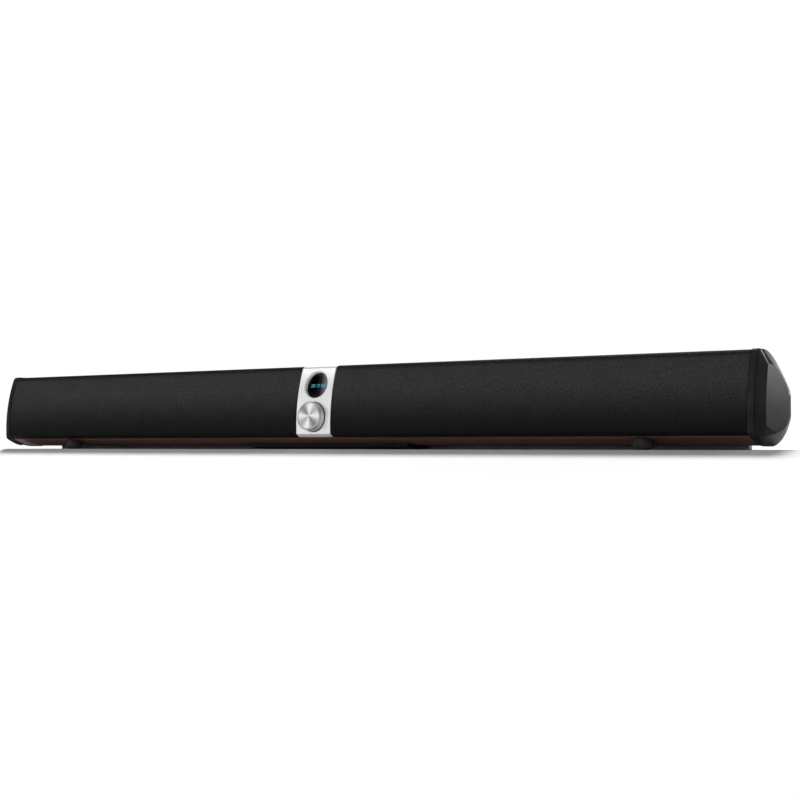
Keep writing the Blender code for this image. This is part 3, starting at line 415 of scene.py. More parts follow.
def cap_face_look():
    """Satin outer face of the cap, with a painted reflection that makes it paler towards its top."""
    look = Look("cap_plastic_face", (0.05, 0.05, 0.05), 0.36, Specular_IOR_Level=0.02)
    where = look.coordinates("Object")
    height = look.add("ShaderNodeSeparateXYZ", Vector=where).outputs[2]
    rise = look.span(height, 0.0, 1.0, *CAP_FACE_REFLECTION_HEIGHTS)
    slow = look.noise(where, 38, 3.0, 0.5)
    # Painted reflection: the face is paler towards its top.
    painted_reflection = look.ramp(
        rise,
        (0.0, (0.009, 0.009, 0.009)),
        (0.35, (0.027, 0.027, 0.027)),
        (0.65, (0.080, 0.080, 0.080)),
        (1.0, (0.145, 0.145, 0.145)),
    )
    look.colour(look.mixed(look.span(slow, 0.0, 0.10, 0.3, 0.7), painted_reflection, (0.03, 0.03, 0.03)))
    look.roughness(look.span(slow, 0.34, 0.40, 0.3, 0.7))
    look.bump(look.noise(where, 3200, 2.0, 0.6), 0.00001, 0.4)
    return look.made


def board_look(name, dark, light):
    """Matt pressed fibre: loudspeaker board, cone paper and silk."""
    look = Look(name, light, 0.85)
    where = look.coordinates("Object")
    look.colour(look.ramp(look.noise(where, 900, 3.0, 0.7), (0.35, dark), (0.65, light)))
    look.bump(look.noise(where, 1400, 2.0), 0.0001, 0.5)
    return look.made


def lacquer_look():
    """Silver-white lacquer with a very fine flake."""
    look = Look("silver_lacquer", (0.90, 0.90, 0.90), 0.34, 0.45, Coat_Weight=0.2, Coat_Roughness=0.2)
    where = look.coordinates("Object")
    flake = look.noise(where, 5200, 1.0, 0.5)
    slow = look.noise(where, 60, 2.0, 0.5)
    tone = look.ramp(flake, (0.35, (0.93, 0.93, 0.93)), (0.65, (0.98, 0.98, 0.98)))
    look.colour(look.mixed(look.span(slow, 0.0, 0.12), tone, (0.89, 0.89, 0.90)))
    look.roughness(look.span(slow, 0.30, 0.38))
    look.bump(flake, 0.00002, 0.25)
    return look.made


def metal_look(name, colour, roughness, grain=700, depth=0.00003, stretch=(1, 1, 1), metallic=1.0):
    """Metal with a fine grain, drawn out along stretch, and slow changes of tone."""
    look = Look(name, colour, roughness, metallic)
    where = look.coordinates("Object", stretch)
    fine = look.noise(where, grain, 4.0, 0.6)
    slow = look.noise(look.coordinates("Object"), 90, 3.0, 0.5)
    darker = tuple(0.86 * c for c in colour)
    look.colour(look.ramp(slow, (0.3, darker), (0.7, colour)))
    look.roughness(look.span(fine, roughness - 0.06, roughness + 0.08))
    look.bump(fine, depth, 0.3)
    return look.made


def spun_look():
    """Aluminium face turned on a lathe: rings of fine cuts, and a painted highlight of the fan of light
    that they give.
    """
    look = Look(
        "spun_aluminium", (0.55, 0.56, 0.58), 0.34, 0.75, Anisotropic=0.9, Anisotropic_Rotation=0.25
    )
    where = look.coordinates("Object")
    axes = look.add("ShaderNodeSeparateXYZ", Vector=where).outputs
    squares = [look.math("POWER", axis, 2.0) for axis in axes[:2]]
    radius = look.math("SQRT", look.math("ADD", *squares))
    cuts = look.noise(look.add("ShaderNodeCombineXYZ", X=radius).outputs[0], 5200, 3.0, 0.7)
    # The fan of light is a painted highlight in the colour: four bright rays, one pair of them a little
    # stronger.
    angle = look.math("ARCTAN2", axes[1], axes[0])
    rays = look.math("COSINE", look.math("MULTIPLY", angle, 4.0))
    slant = look.math("COSINE", look.math("SUBTRACT", look.math("MULTIPLY", angle, 2.0), math.pi / 2))
    fan = look.math("ADD", look.math("MULTIPLY", rays, 0.30), look.math("MULTIPLY", slant, 0.16))
    rings = look.ramp(cuts, (0.3, (0.90, 0.90, 0.91)), (0.7, (1.0, 1.0, 1.0)))
    light = look.ramp(
        look.span(fan, 0.0, 1.0, -0.46, 0.46),
        (0.0, (0.28, 0.30, 0.31)),
        (0.45, (0.62, 0.64, 0.65)),
        (0.8, (1.0, 1.0, 0.99)),
    )
    look.colour(look.mixed(1.0, light, rings, "MULTIPLY"))
    look.roughness(look.span(cuts, 0.28, 0.40))
    look.bump(cuts, 0.00002, 0.35)
    tangent = look.tree.nodes.new("ShaderNodeTangent")
    tangent.direction_type = "RADIAL"
    tangent.axis = "Z"
    look.link(tangent.outputs[0], look.shader.inputs["Tangent"])
    return look.made


def rubber_look(name, dark, light, roughness, specular):
    """Rubber with a fine skin and patches of pale dust."""
    look = Look(name, dark, roughness, Specular_IOR_Level=specular)
    where = look.coordinates("Object")
    fine = look.noise(where, 1500, 3.0, 0.6)
    dust = look.noise(where, 140, 4.0, 0.7)
    look.colour(look.ramp(dust, (0.40, dark), (0.75, light)))
    look.roughness(look.span(dust, roughness, 1.35 * roughness))
    look.bump(fine, 0.00008, 0.5)
    return look.made


LENS_REFLECTION_SPAN = (-0.004, 0.0145)


def lens_look():
    """Smoked display window, with a painted reflection: soft grey towards one side of the glass."""
    look = Look("smoked_lens", (0.003, 0.003, 0.004), 0.07, Specular_IOR_Level=0.12)
    axes = look.add("ShaderNodeSeparateXYZ", Vector=look.coordinates("Object")).outputs
    # Painted reflection, grey towards one side of the glass.
    painted_reflection = look.ramp(
        look.span(axes[0], 0.0, 1.0, *LENS_REFLECTION_SPAN),
        (0.0, (0.0005, 0.0005, 0.0005)),
        (0.40, (0.012, 0.012, 0.013)),
        (0.75, (0.16, 0.16, 0.165)),
        (1.0, (0.42, 0.42, 0.43)),
    )
    look.colour(painted_reflection)
    smear = look.noise(look.coordinates("Object"), 210, 3.0, 0.6)
    look.roughness(look.span(smear, 0.04, 0.10))
    return look.made


def digit_look():
    """Dimly glowing cyan cells."""
    look = Look("display_dots", (0.10, 0.75, 0.85), 0.4)
    where = look.coordinates("Object")
    glow = look.ramp(look.noise(where, 900, 1.0), (0.3, (0.05, 0.42, 0.46)), (0.7, (0.10, 0.52, 0.56)))
    look.link(glow, look.shader.inputs["Emission Color"])
    look.set("Emission Strength", 0.22)
    return look.made


def circuit_look():
    """Green solder mask with tracks and pads."""
    look = Look("circuit_board", (0.015, 0.09, 0.04), 0.42)
    where = look.coordinates("Object")
    tracks = look.add(
        "ShaderNodeTexBrick",
        Vector=where,
        Scale=260.0,
        Color1=(0.012, 0.085, 0.038, 1),
        Color2=(0.020, 0.120, 0.055, 1),
        Mortar=(0.030, 0.170, 0.080, 1),
    )
    look.colour(tracks.outputs[0])
    look.roughness(look.span(look.noise(where, 300, 2.0), 0.35, 0.5))
    look.bump(tracks.outputs[1], 0.00003, 0.4)
    return look.made


CLOTH = cloth_look()
WALNUT = walnut_look()
LACQUER = lacquer_look()
SPUN = spun_look()
RUBBER = rubber_look("foot_rubber", (0.013, 0.013, 0.015), (0.030, 0.030, 0.032), 0.62, 0.35)
RAIL_RUBBER = rubber_look("rail_rubber", (0.20, 0.20, 0.19), (0.27, 0.27, 0.26), 0.42, 0.5)
LENS = lens_look()
DIGITS = digit_look()
CIRCUIT = circuit_look()
COLLAR = moulded_look("collar_plastic", (0.023, 0.023, 0.024), 0.46, Specular_IOR_Level=0.012)
CAP = cap_look("cap_plastic", (0.014, 0.014, 0.016), 0.38, 0.004)
CAP_GLOSS = cap_look("cap_plastic_polished", (0.006, 0.006, 0.007), 0.22, 0.11)
# Pale strip along the cap's front crease: a painted highlight.
CAP_CREASE_HIGHLIGHT = cap_look("cap_crease_painted_highlight", (0.15, 0.15, 0.16), 0.26, 0.11)
CAP_UNDER = cap_look("cap_plastic_under", (0.014, 0.014, 0.020), 0.34, 0.03)
CAP_FACE = cap_face_look()
COVER = moulded_look("cover_plastic", (0.006, 0.006, 0.007), 0.50, 1900, 0.00010, Specular_IOR_Level=0.10)
MATTE = moulded_look("matte_plastic", (0.020, 0.020, 0.021), 0.52, 1900, 0.00010)
TRAY = moulded_look("tray_plastic", (0.030, 0.030, 0.032), 0.46, 2200, 0.00008)
SOCKET = moulded_look("socket_plastic", (0.045, 0.045, 0.048), 0.40)
GLOSSY = moulded_look("rocker_plastic", (0.028, 0.028, 0.030), 0.24, 3200, 0.00003, 0.06)
BOARD = board_look("fibreboard", (0.13, 0.09, 0.055), (0.24, 0.18, 0.12))
CONE = board_look("cone_paper", (0.018, 0.018, 0.020), (0.040, 0.040, 0.044))
SILK = board_look("silk_dome", (0.022, 0.020, 0.019), (0.050, 0.046, 0.043))
BEZEL = metal_look("bezel_metal", (0.94, 0.94, 0.94), 0.34, metallic=0.12)
KNOB_METAL = metal_look("knob_metal", (0.68, 0.68, 0.71), 0.32)
STEEL = metal_look("zinc_steel", (0.30, 0.30, 0.31), 0.42)
DARK_STEEL = metal_look("black_steel", (0.10, 0.10, 0.105), 0.38)
PLATED = metal_look("plated_brass", (0.66, 0.56, 0.34), 0.24)
IRON = metal_look("laminated_iron", (0.16, 0.14, 0.12), 0.50)
ANODISED = metal_look("anodised_fins", (0.30, 0.30, 0.32), 0.42, 500, 0.00004, (1, 8, 1))

# ---------------------------------------------------------------- mesh helpers


def linked(name, data):
    made = bpy.data.objects.new(name, data)
    bpy.context.scene.collection.objects.link(made)
    return made


def evaluated(made):
    bpy.context.view_layer.update()
    return made.evaluated_get(bpy.context.evaluated_depsgraph_get())


def as_bmesh(drawn):
    """Mesh that a drawn object comes out as; the object itself goes."""
    bm = bmesh.new()
    bm.from_mesh(evaluated(drawn).to_mesh())
    bpy.data.objects.remove(drawn, do_unlink=True)
    return bm


def finish_mesh(name, bm, look, angle=30):
    mesh = bpy.data.meshes.new(name)
    bm.to_mesh(mesh)
    bm.free()
    mesh.shade_smooth()
    mesh.set_sharp_from_angle(angle=math.radians(angle))
    mesh.materials.append(look)
    return linked(name, mesh)


def settle(made, body, slot, *nodes):
    """Applies the modifiers, rides the body and stands for the CAD nodes."""
    mesh = bpy.data.meshes.new_from_object(evaluated(made))
    made.modifiers.clear()
    made.data = mesh
    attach(made, body)
    if nodes:
        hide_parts(*nodes)


def round_edges(made, width, angle=35):
    step = made.modifiers.new("edges", "BEVEL")
    step.width = width * MM
    step.segments = 2
    step.limit_method = "ANGLE"
    step.angle_limit = math.radians(angle)
    step.harden_normals = True


def swept(name, line, stations, thickness, look):
    """Open section line swept through (x, inset) stations, with lengths as its UV map, and thickened."""
    bm = bmesh.new()
    uv = bm.loops.layers.uv.new("lengths")
    lengths = distances(line)
    rows = []
    for x, inset in stations:
        moved = inset_line(line, inset) if inset else line
        rows.append([bm.verts.new(place(x, *point)) for point in moved])
    for (x, _), (x_after, _), row, after in zip(stations, stations[1:], rows, rows[1:]):
        for index in range(len(line) - 1):
            face = bm.faces.new((row[index], after[index], after[index + 1], row[index + 1]))
            corners = ((x, index), (x_after, index), (x_after, index + 1), (x, index + 1))
            for loop, (at, step) in zip(face.loops, corners):
                loop[uv].uv = (at * MM, lengths[step] * MM)
    made = finish_mesh(name, bm, look, 60)
    wall = made.modifiers.new("thickness", "SOLIDIFY")
    wall.thickness = thickness * MM
    wall.offset = -1.0
    wall.use_even_offset = True
    return made


def lofted(name, outline, stations, look, angle=30, fold=0):
    """Closed section outline lofted through (x, inset) stations, with flat ends.

    With fold, the outline doubles back there, and each end is a strip of quads between its two sides.
    """
    bm = bmesh.new()
    rings = []
    for x, inset in stations:
        moved = inset_outline(outline, inset) if inset else outline
        rings.append([bm.verts.new(place(x, *point)) for point in moved])
    count = len(outline)
    for ring, after in zip(rings, rings[1:]):
        for index in range(count):
            beyond = (index + 1) % count
            bm.faces.new((ring[index], ring[beyond], after[beyond], after[index]))
    for ring in (rings[0], rings[-1]):
        if not fold:
            bm.faces.new(ring)
            continue
        for index in range(fold - 1):
            bm.faces.new((ring[index], ring[index + 1], ring[count - 2 - index], ring[count - 1 - index]))
    bmesh.ops.recalc_face_normals(bm, faces=bm.faces)
    return finish_mesh(name, bm, look, angle)


def filleted(profile, radius, steps=3):
    """Profile with its inner corners rounded; end points stay."""
    out = [profile[0]]
    for before, here, after in zip(profile, profile[1:], profile[2:]):
        reach = min(radius, math.dist(before, here) / 2.2, math.dist(here, after) / 2.2)
        start = tuple(h + (b - h) * reach / math.dist(before, here) for b, h in zip(before, here))
        end = tuple(h + (a - h) * reach / math.dist(here, after) for a, h in zip(after, here))
        for step in range(steps + 1):
            t = step / steps
            ways = zip(start, here, end)
            out.append(tuple((1 - t) ** 2 * s + 2 * t * (1 - t) * h + t * t * e for s, h, e in ways))
    out.append(profile[-1])
    return out


def turned(name, profile, centre, look, tilt, sides):
    """Profile of (radius, height) turned about local Z, which a tilt points out of the leaning front."""
    mesh = bpy.data.meshes.new(name + "_profile")
    bm = bmesh.new()
    verts = [bm.verts.new((radius * MM, 0, height * MM)) for radius, height in profile]
    for start, end in zip(verts, verts[1:]):
        bm.edges.new((start, end))
    bm.to_mesh(mesh)
    bm.free()
    drawn = linked(name, mesh)
    screw = drawn.modifiers.new("turn", "SCREW")
    screw.axis = "Z"
    screw.steps = sides
    screw.render_steps = sides
    screw.use_merge_vertices = True
    screw.merge_threshold = 0.000001
    bm = as_bmesh(drawn)
    bmesh.ops.recalc_face_normals(bm, faces=bm.faces)
    made = finish_mesh(name, bm, look, 40)
    made.location = centre
    if tilt is not None:
        made.rotation_euler.x = math.pi / 2 - tilt
    return made


def cut(target, *tools):
    for tool in tools:
        step = target.modifiers.new(tool.name, "BOOLEAN")
        step.operation = "DIFFERENCE"
        step.object = tool
        step.solver = "EXACT"


def block(name, low, high):
    """Cutter box between two corners."""
    bm = bmesh.new()
    bmesh.ops.create_cube(bm, size=1.0)
    bmesh.ops.scale(bm, vec=high - low, verts=bm.verts)
    bmesh.ops.translate(bm, vec=(high + low) / 2, verts=bm.verts)
    return finish_mesh(name, bm, MATTE)


def drop(*tools):
    for tool in tools:
        bpy.data.objects.remove(tool, do_unlink=True)


# ---------------------------------------------------------------- grille cloths
CLOTH_THICKNESS = 0.7
CLOTH_STEPS = 60


def rounded_stations(start, end, edge, count):
    """(x, inset) stations between two x, with an edge of (distance in, inset) steps at both ends."""
    stations = [(start + out, inset) for out, inset in edge]
    stations += [(start + (end - start) * step / count, 0.0) for step in range(1, count)]
    return stations + [(end - out, inset) for out, inset in reversed(edge)]


for side in ("left", "right"):
    node = "grille_cloth_" + side
    low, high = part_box(node)
    edge = [(0.0, 0.55), (0.12, 0.30), (0.4, 0.10), (0.9, 0.0)]
    stations = rounded_stations(low.x / MM, high.x / MM, edge, CLOTH_STEPS)
    cloth = swept("cloth_" + side, FRONT, stations, CLOTH_THICKNESS, CLOTH)
    settle(cloth, BAR, node, node)

# ---------------------------------------------------------------- cabinet wrap
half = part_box("cabinet_shell")[1].x / MM
GAP = 0.3
PAST_FACE = 3.0
WRAP_STEPS = 24
RIM_THICKNESS = 2.3
TRAY_WINDOW_HALF = 75.3
BAY = ((-80, 34, 0), (80, 62, 14))
POCKET_HALF = (6.5, 0, 8.5)
POCKET_DEPTH = 9.0


def back_tool(name, low, high, deep, past):
    """Cutter box over a rectangle on the back, from deep inside y low to past y high."""
    return block(
        name,
        Vector((low.x, low.y - deep * MM, low.z)),
        Vector((high.x, high.y + past * MM, high.z)),
    )


stations = [(half * (2 * step / WRAP_STEPS - 1), 0.0) for step in range(WRAP_STEPS + 1)]
shell = lofted("walnut_wrap", WRAP + WRAP_INSIDE[::-1], stations, WALNUT, 40, len(WRAP))
gap = Vector((GAP, 0.0, GAP)) * MM
tray_low, tray_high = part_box("terminal_tray")
rim_low = Vector((tray_low.x, tray_high.y, tray_low.z)) - gap
rim_high = tray_high + gap
window_low = Vector((-TRAY_WINDOW_HALF * MM, tray_low.y, rim_low.z))
window_high = Vector((TRAY_WINDOW_HALF * MM, tray_high.y, rim_high.z))
tools = [
    back_tool("tray_rebate_tool", rim_low, rim_high, RIM_THICKNESS, PAST_FACE),
    back_tool("tray_window_tool", window_low, window_high, 1.0, PAST_FACE),
    block("bay_tool", place(*BAY[0]), place(*BAY[1])),
]
for side in ("left", "right"):
    plate_low, plate_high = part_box("wall_plate_" + side)
    tools.append(back_tool("plate_tool_" + side, plate_low - gap, plate_high + gap, GAP, PAST_FACE))
    middle = (plate_low + plate_high) / 2
    pocket = Vector(POCKET_HALF) * MM
    pocket_low = Vector((middle.x, plate_low.y, middle.z)) - pocket
    pocket_high = Vector((middle.x, plate_high.y, middle.z)) + pocket
    tools.append(back_tool("pocket_tool_" + side, pocket_low, pocket_high, POCKET_DEPTH, 0.0))
cut(shell, *tools)
settle(shell, BAR, "cabinet_shell", "cabinet_shell")
drop(*tools)

# ---------------------------------------------------------------- end collars and faceted caps
COLLAR_STATIONS = [
    (0.0, 1.0), (0.0, 0.30), (0.10, 0.08), (0.32, 0.0), (6.00, 0.0), (6.25, 0.06),
    (6.42, 0.20), (6.50, 0.42), (6.50, 1.1),
]
RIM = inset_outline(BODY, -COLLAR_PROUD)
CAP_INSET = 0.25
CAP_SEAT = 0.25  # how far the cap reaches into the gap to its collar
CAP_RIM = 0.8
FACET_ROUND = 0.22
FACET_ANGLE = 9
GLOSS, CREASE_HIGHLIGHT, UNDER, FACE = 1, 2, 3, 4
# Reach of the painted highlight strip along the top edge from the crease, at the rim and at the face.
CREASE_HIGHLIGHT_REACH = (5.0, 2.0)
# Steps along the front, top, slope, rear and under edges of the cap.
EDGE_STEPS = (24, 6, 30, 6, 36)
# Rise and scale of the rings that crown the outer face.
CROWN = ((0.0, 1.0), (0.03, 0.93), (0.09, 0.75), (0.13, 0.5), (0.15, 0.25))
CAP_CHIN = [(26.0, 4.5), (19.7, 6.0), (14.1, 8.0), (8.5, 10.5), (4.0, 12.7), (1.0, 14.9)]
FACE_FRONT = [(19.3, 23.9), (19.3, 38.0), (20.3, 52.0), (22.8, 68.0), (26.6, 84.4)]
FACE_TOP = [(26.6, 84.4), (36.0, 84.6), (45.1, 83.4)]
FACE_SLOPE = [
    (45.1, 83.4), (54.5, 80.8), (62.9, 77.2), (69.6, 73.6), (75.8, 69.5), (82.3, 64.8), (87.0, 60.0),
    (88.6, 55.0),
]
FACE_REAR = [(88.6, 55.0), (88.5, 45.0), (88.0, 33.8)]
FACE_UNDER = [
    (88.0, 33.8), (85.6, 29.0), (80.2, 25.0), (73.4, 22.4), (65.7, 20.5), (57.6, 19.0), (49.3, 18.5),
    (43.0, 18.8), (37.5, 19.7), (31.2, 20.9), (25.0, 22.3), (19.3, 23.9),
]
RIDGE = [
    (88.4, 31.6, 0.985), (84.7, 26.6, 0.97), (72.6, 20.8, 0.94), (61.8, 18.5, 0.92), (50.7, 16.6, 0.90),
    (39.4, 15.1, 0.87), (28.2, 13.9, 0.82), (17.5, 12.9, 0.70), (7.8, 12.7, 0.50), (1.0, 14.9, 0.0),
]


def resampled(line, count):
    """Line with count even steps along its length."""
    lengths = distances(line)
    out = []
    segment = 0
    for step in range(count + 1):
        goal = lengths[-1] * step / count
        while segment < len(line) - 2 and lengths[segment + 1] < goal:
            segment += 1
        span = lengths[segment + 1] - lengths[segment]
        share = (goal - lengths[segment]) / span
        out.append(tuple(a + (b - a) * share for a, b in zip(line[segment], line[segment + 1])))
    return out


def led(line, reach, count):
    """Line with one first step of the given reach and even steps after it."""
    fine = resampled(line, 200)
    split = min(range(1, 200), key=lambda i: abs(math.dist(fine[0], fine[i]) - reach))
    return fine[:1] + resampled(fine[split:], count - 1)


def nearest(outline, point):
    return min(range(len(outline)), key=lambda i: math.dist(outline[i], point))


def between(outline, start, end):
    """Part of a closed outline from the point nearest start to the one nearest end, in its order."""
    first = nearest(outline, start)
    last = nearest(outline, end)
    if last <= first:
        last += len(outline)
    return [outline[i % len(outline)] for i in range(first, last + 1)]


def cap_piece(side, sign):
    """Gem-shaped cap: facets between its rim and a smaller outer face, and a ridge low round it."""
    low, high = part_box("end_cap_" + side)
    inner_x, outer_x = sorted((abs(low.x), abs(high.x)))
    near, far = inner_x / MM - CAP_SEAT, outer_x / MM
    edge_x = near + CAP_RIM
    body = inset_outline(BODY, CAP_INSET)
    first = nearest(body, (0.3, LOWER_CORNER_HEIGHT))
    last = nearest(body, (33.0, 5.6))
    outline = CAP_CHIN[-1:] + body[first + 1 : last + 1] + CAP_CHIN[:-1]
    chin = CAP_CHIN[-1]
    crest, shoulder = (17.9, TOP_HEIGHT), (28.4, TOP_HEIGHT)
    heel, toe = (109.4, 57.0), (109.4, 34.0)
    bm = bmesh.new()
    seen = {}

    def vert(x, point):
        key = (round(x, 3), round(point[0], 3), round(point[1], 3))
        if key not in seen:
            seen[key] = bm.verts.new(place(sign * x, *point))
        return seen[key]

    def patch(start, end, steps, finish=0, first=None):
        """Quads between two lines of (depth, height, x) points with the same count, in one finish.

        With first, the quads along the lines' starts have a finish of their own.
        """
        rows = []
        for step in range(steps + 1):
            share = step / steps
            row = []
            for a, b in zip(start, end):
                point = [p + (q - p) * share for p, q in zip(a, b)]
                row.append(vert(point[2], point[:2]))
            rows.append(row)
        for row, after in zip(rows, rows[1:]):
            for column, corners in enumerate(zip(row, row[1:], after[1:], after)):
                loop = list(dict.fromkeys(corners))
                if len(loop) > 2 and bm.faces.get(loop) is None:
                    made = bm.faces.new(loop)
                    made.material_index = first if first is not None and column == 0 else finish

    def at(line, x):
        return [(*point, x) for point in line]

    corners = (chin, crest, shoulder, heel, toe, chin)
    rims = []
    for start, end, count in zip(corners, corners[1:], EDGE_STEPS):
        rims.append(resampled(between(outline, start, end), count))
    rims[1] = led(rims[1], CREASE_HIGHLIGHT_REACH[0], EDGE_STEPS[1] + 1)
    faces = []
    for line, count in zip((FACE_FRONT, FACE_TOP, FACE_SLOPE, FACE_REAR, FACE_UNDER), EDGE_STEPS):
        faces.append(resampled(eased(line, 4), count))
    faces[1] = led(faces[1], CREASE_HIGHLIGHT_REACH[1], EDGE_STEPS[1] + 1)
    ridge = [
        (depth, height, edge_x + (far - edge_x) * share)
        for depth, height, share in resampled(eased(RIDGE, 4), EDGE_STEPS[4])
    ]
    for rim in rims:
        patch(at(rim, near), at(rim, edge_x), 1)
    patch(at(rims[0], edge_x), at(faces[0], far), 4)
    # The strip along the front crease carries the painted highlight.
    patch(at(rims[1], edge_x), at(faces[1], far), 4, 0, CREASE_HIGHLIGHT)
    patch(at(rims[2], edge_x), at(faces[2], far), 4, GLOSS)
    patch(at(rims[3], edge_x), at(faces[3], far), 4)
    patch(at(rims[4], edge_x), ridge, 4, UNDER)
    patch(ridge, at(faces[4], far), 2)
    outer = [point for face in faces for point in face[:-1]]
    centre = (sum(p[0] for p in outer) / len(outer), sum(p[1] for p in outer) / len(outer))
    rings = []
    for rise, scale in CROWN:
        points = [tuple(c + (p - c) * scale for p, c in zip(point, centre)) for point in outer]
        rings.append([vert(far + rise, point) for point in points])
    for ring, after in zip(rings, rings[1:]):
        for corners in zip(ring, ring[1:] + ring[:1], after[1:] + after[:1], after):
            bm.faces.new(corners).material_index = FACE
    bm.faces.new(rings[-1]).material_index = FACE
    bm.faces.new([vert(near, point) for rim in rims for point in rim[:-1]])
    bmesh.ops.remove_doubles(bm, verts=bm.verts, dist=0.000002)
    open_edges = [edge for edge in bm.edges if len(edge.link_faces) < 2]
    bmesh.ops.holes_fill(bm, edges=open_edges, sides=0)
    bmesh.ops.recalc_face_normals(bm, faces=bm.faces)
    made = finish_mesh("faceted_cap_" + side, bm, CAP, FACET_ANGLE)
    for look in (CAP_GLOSS, CAP_CREASE_HIGHLIGHT, CAP_UNDER, CAP_FACE):
        made.data.materials.append(look)
    round_edges(made, FACET_ROUND, FACET_ANGLE)
    return made


for side, sign in (("left", -1), ("right", 1)):
    node = "end_collar_" + side
    low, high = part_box(node)
    start = min(abs(low.x), abs(high.x)) / MM
    stations = [(sign * (start + out), inset) for out, inset in COLLAR_STATIONS]
    collar = lofted("collar_" + side, RIM, stations, COLLAR)
    settle(collar, BAR, node, node)
    node = "end_cap_" + side
    settle(cap_piece(side, sign), BAR, node, node)

# ---------------------------------------------------------------- control panel
PANEL_THICKNESS = 3.0
EDGE_ROUND = 1.1
DISPLAY_HEIGHT = 76.4
DISPLAY_HOLE_RADIUS = 17.3
KNOB_HEIGHT = 38.1
KNOB_HOLE_RADIUS = 18.1
HOLE_SIDES = 120
HOLE_GROWTH = 0.55  # share of the edge's round that a hole's outline is drawn wider by
panel_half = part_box("control_panel")[1].x / MM
knob_centre = place(0, arc_depth(KNOB_HEIGHT), KNOB_HEIGHT)
display_centre = place(0, arc_depth(DISPLAY_HEIGHT), DISPLAY_HEIGHT)
DISPLAY_TILT = arc_tilt(DISPLAY_HEIGHT)


def split_at(bm, point, normal):
    everything = bm.verts[:] + bm.edges[:] + bm.faces[:]
    bmesh.ops.bisect_plane(bm, geom=everything, dist=0.0000001, plane_co=point, plane_no=normal)


def bent_panel():
    """Flat plate with two round holes and rounded edges, bent onto the front line."""
    lengths = distances(FRONT)
    arc_start = math.dist(CHAMFER_END, (arc_depth(LOWER_CORNER_HEIGHT), LOWER_CORNER_HEIGHT))
    low_angle = arc_tilt(LOWER_CORNER_HEIGHT)

    def rise(height):
        return arc_start + ARC_RADIUS * (arc_tilt(height) - low_angle)

    curve = bpy.data.curves.new("panel_plate", "CURVE")
    curve.dimensions = "2D"
    curve.fill_mode = "BOTH"
    curve.bevel_depth = EDGE_ROUND * MM
    curve.bevel_resolution = 3
    curve.extrude = (PANEL_THICKNESS / 2 - EDGE_ROUND) * MM
    across = panel_half - EDGE_ROUND
    total = lengths[-1]
    low, high = EDGE_ROUND, total - EDGE_ROUND
    outlines = [[(-across, low), (across, low), (across, high), (-across, high)]]
    for height, radius in ((DISPLAY_HEIGHT, DISPLAY_HOLE_RADIUS), (KNOB_HEIGHT, KNOB_HOLE_RADIUS)):
        middle = rise(height)
        grown = radius + EDGE_ROUND * HOLE_GROWTH
        angles = [2 * math.pi * step / HOLE_SIDES for step in range(HOLE_SIDES)]
        outlines.append([(grown * math.cos(a), middle + grown * math.sin(a)) for a in angles])
    for outline in outlines:
        spline = curve.splines.new("POLY")
        spline.points.add(len(outline) - 1)
        for point, (x, y) in zip(spline.points, outline):
            point.co = (x * MM, y * MM, 0, 1)
        spline.use_cyclic_u = True
    bm = as_bmesh(linked("panel_plate", curve))
    bmesh.ops.remove_doubles(bm, verts=bm.verts, dist=0.000001)
    for along in lengths[1:-1]:
        split_at(bm, (0, along * MM, 0), (0, 1, 0))
    for column in range(-20, 21, 8):
        split_at(bm, (column * MM, 0, 0), (1, 0, 0))
    for vertex in bm.verts:
        along = min(max(vertex.co.y / MM, 0.0), total)
        index = max(i for i in range(len(lengths) - 1) if lengths[i] <= along + 1e-6)
        share = (along - lengths[index]) / (lengths[index + 1] - lengths[index])
        layer = inset_line(FRONT, PANEL_THICKNESS / 2 - vertex.co.z / MM)
        moved = [a + (b - a) * share for a, b in zip(layer[index], layer[index + 1])]
        vertex.co = place(vertex.co.x / MM, *moved)
    bmesh.ops.recalc_face_normals(bm, faces=bm.faces)
    made = finish_mesh("silver_panel", bm, LACQUER, 40)
    weighted = made.modifiers.new("normals", "WEIGHTED_NORMAL")
    weighted.keep_sharp = True
    return made


settle(bent_panel(), BAR, "control_panel", "control_panel")

# ---------------------------------------------------------------- display
BEZEL_PROFILE = [
    (16.2, -0.9), (17.0, -0.9), (17.0, -7.4), (14.2, -7.4), (14.2, -6.2), (16.2, -6.2), (16.2, -0.9),
]
bezel = turned("display_ring", filleted(BEZEL_PROFILE, 0.25), display_centre, BEZEL, DISPLAY_TILT, 120)
settle(bezel, BAR, "display_bezel", "display_bezel")
LENS_PROFILE = [
    (0.0, -4.35), (5.0, -4.38), (10.0, -4.47), (14.0, -4.62), (15.5, -4.75), (15.8, -5.05), (15.8, -5.9),
    (0.0, -5.9),
]
lens = turned("display_glass", LENS_PROFILE, display_centre, LENS, DISPLAY_TILT, 120)
settle(lens, BAR, "display_lens", "display_lens")

DIGIT_ROWS = {
    "2": ("01110", "10001", "00001", "00110", "01000", "10000", "11111"),
    "0": ("01110", "10001", "10011", "10101", "11001", "10001", "01110"),
    ":": ("000", "010", "000", "000", "000", "010", "000"),
    "1": ("00100", "01100", "00100", "00100", "00100", "00100", "01110"),
    "5": ("11111", "10000", "11110", "00001", "00001", "10001", "01110"),
}
DIGIT_PITCH = (0.47, 0.56)
DIGIT_DEPTH = -4.33
CELL_THICKNESS = 0.05
CELL_SHARE = 0.8


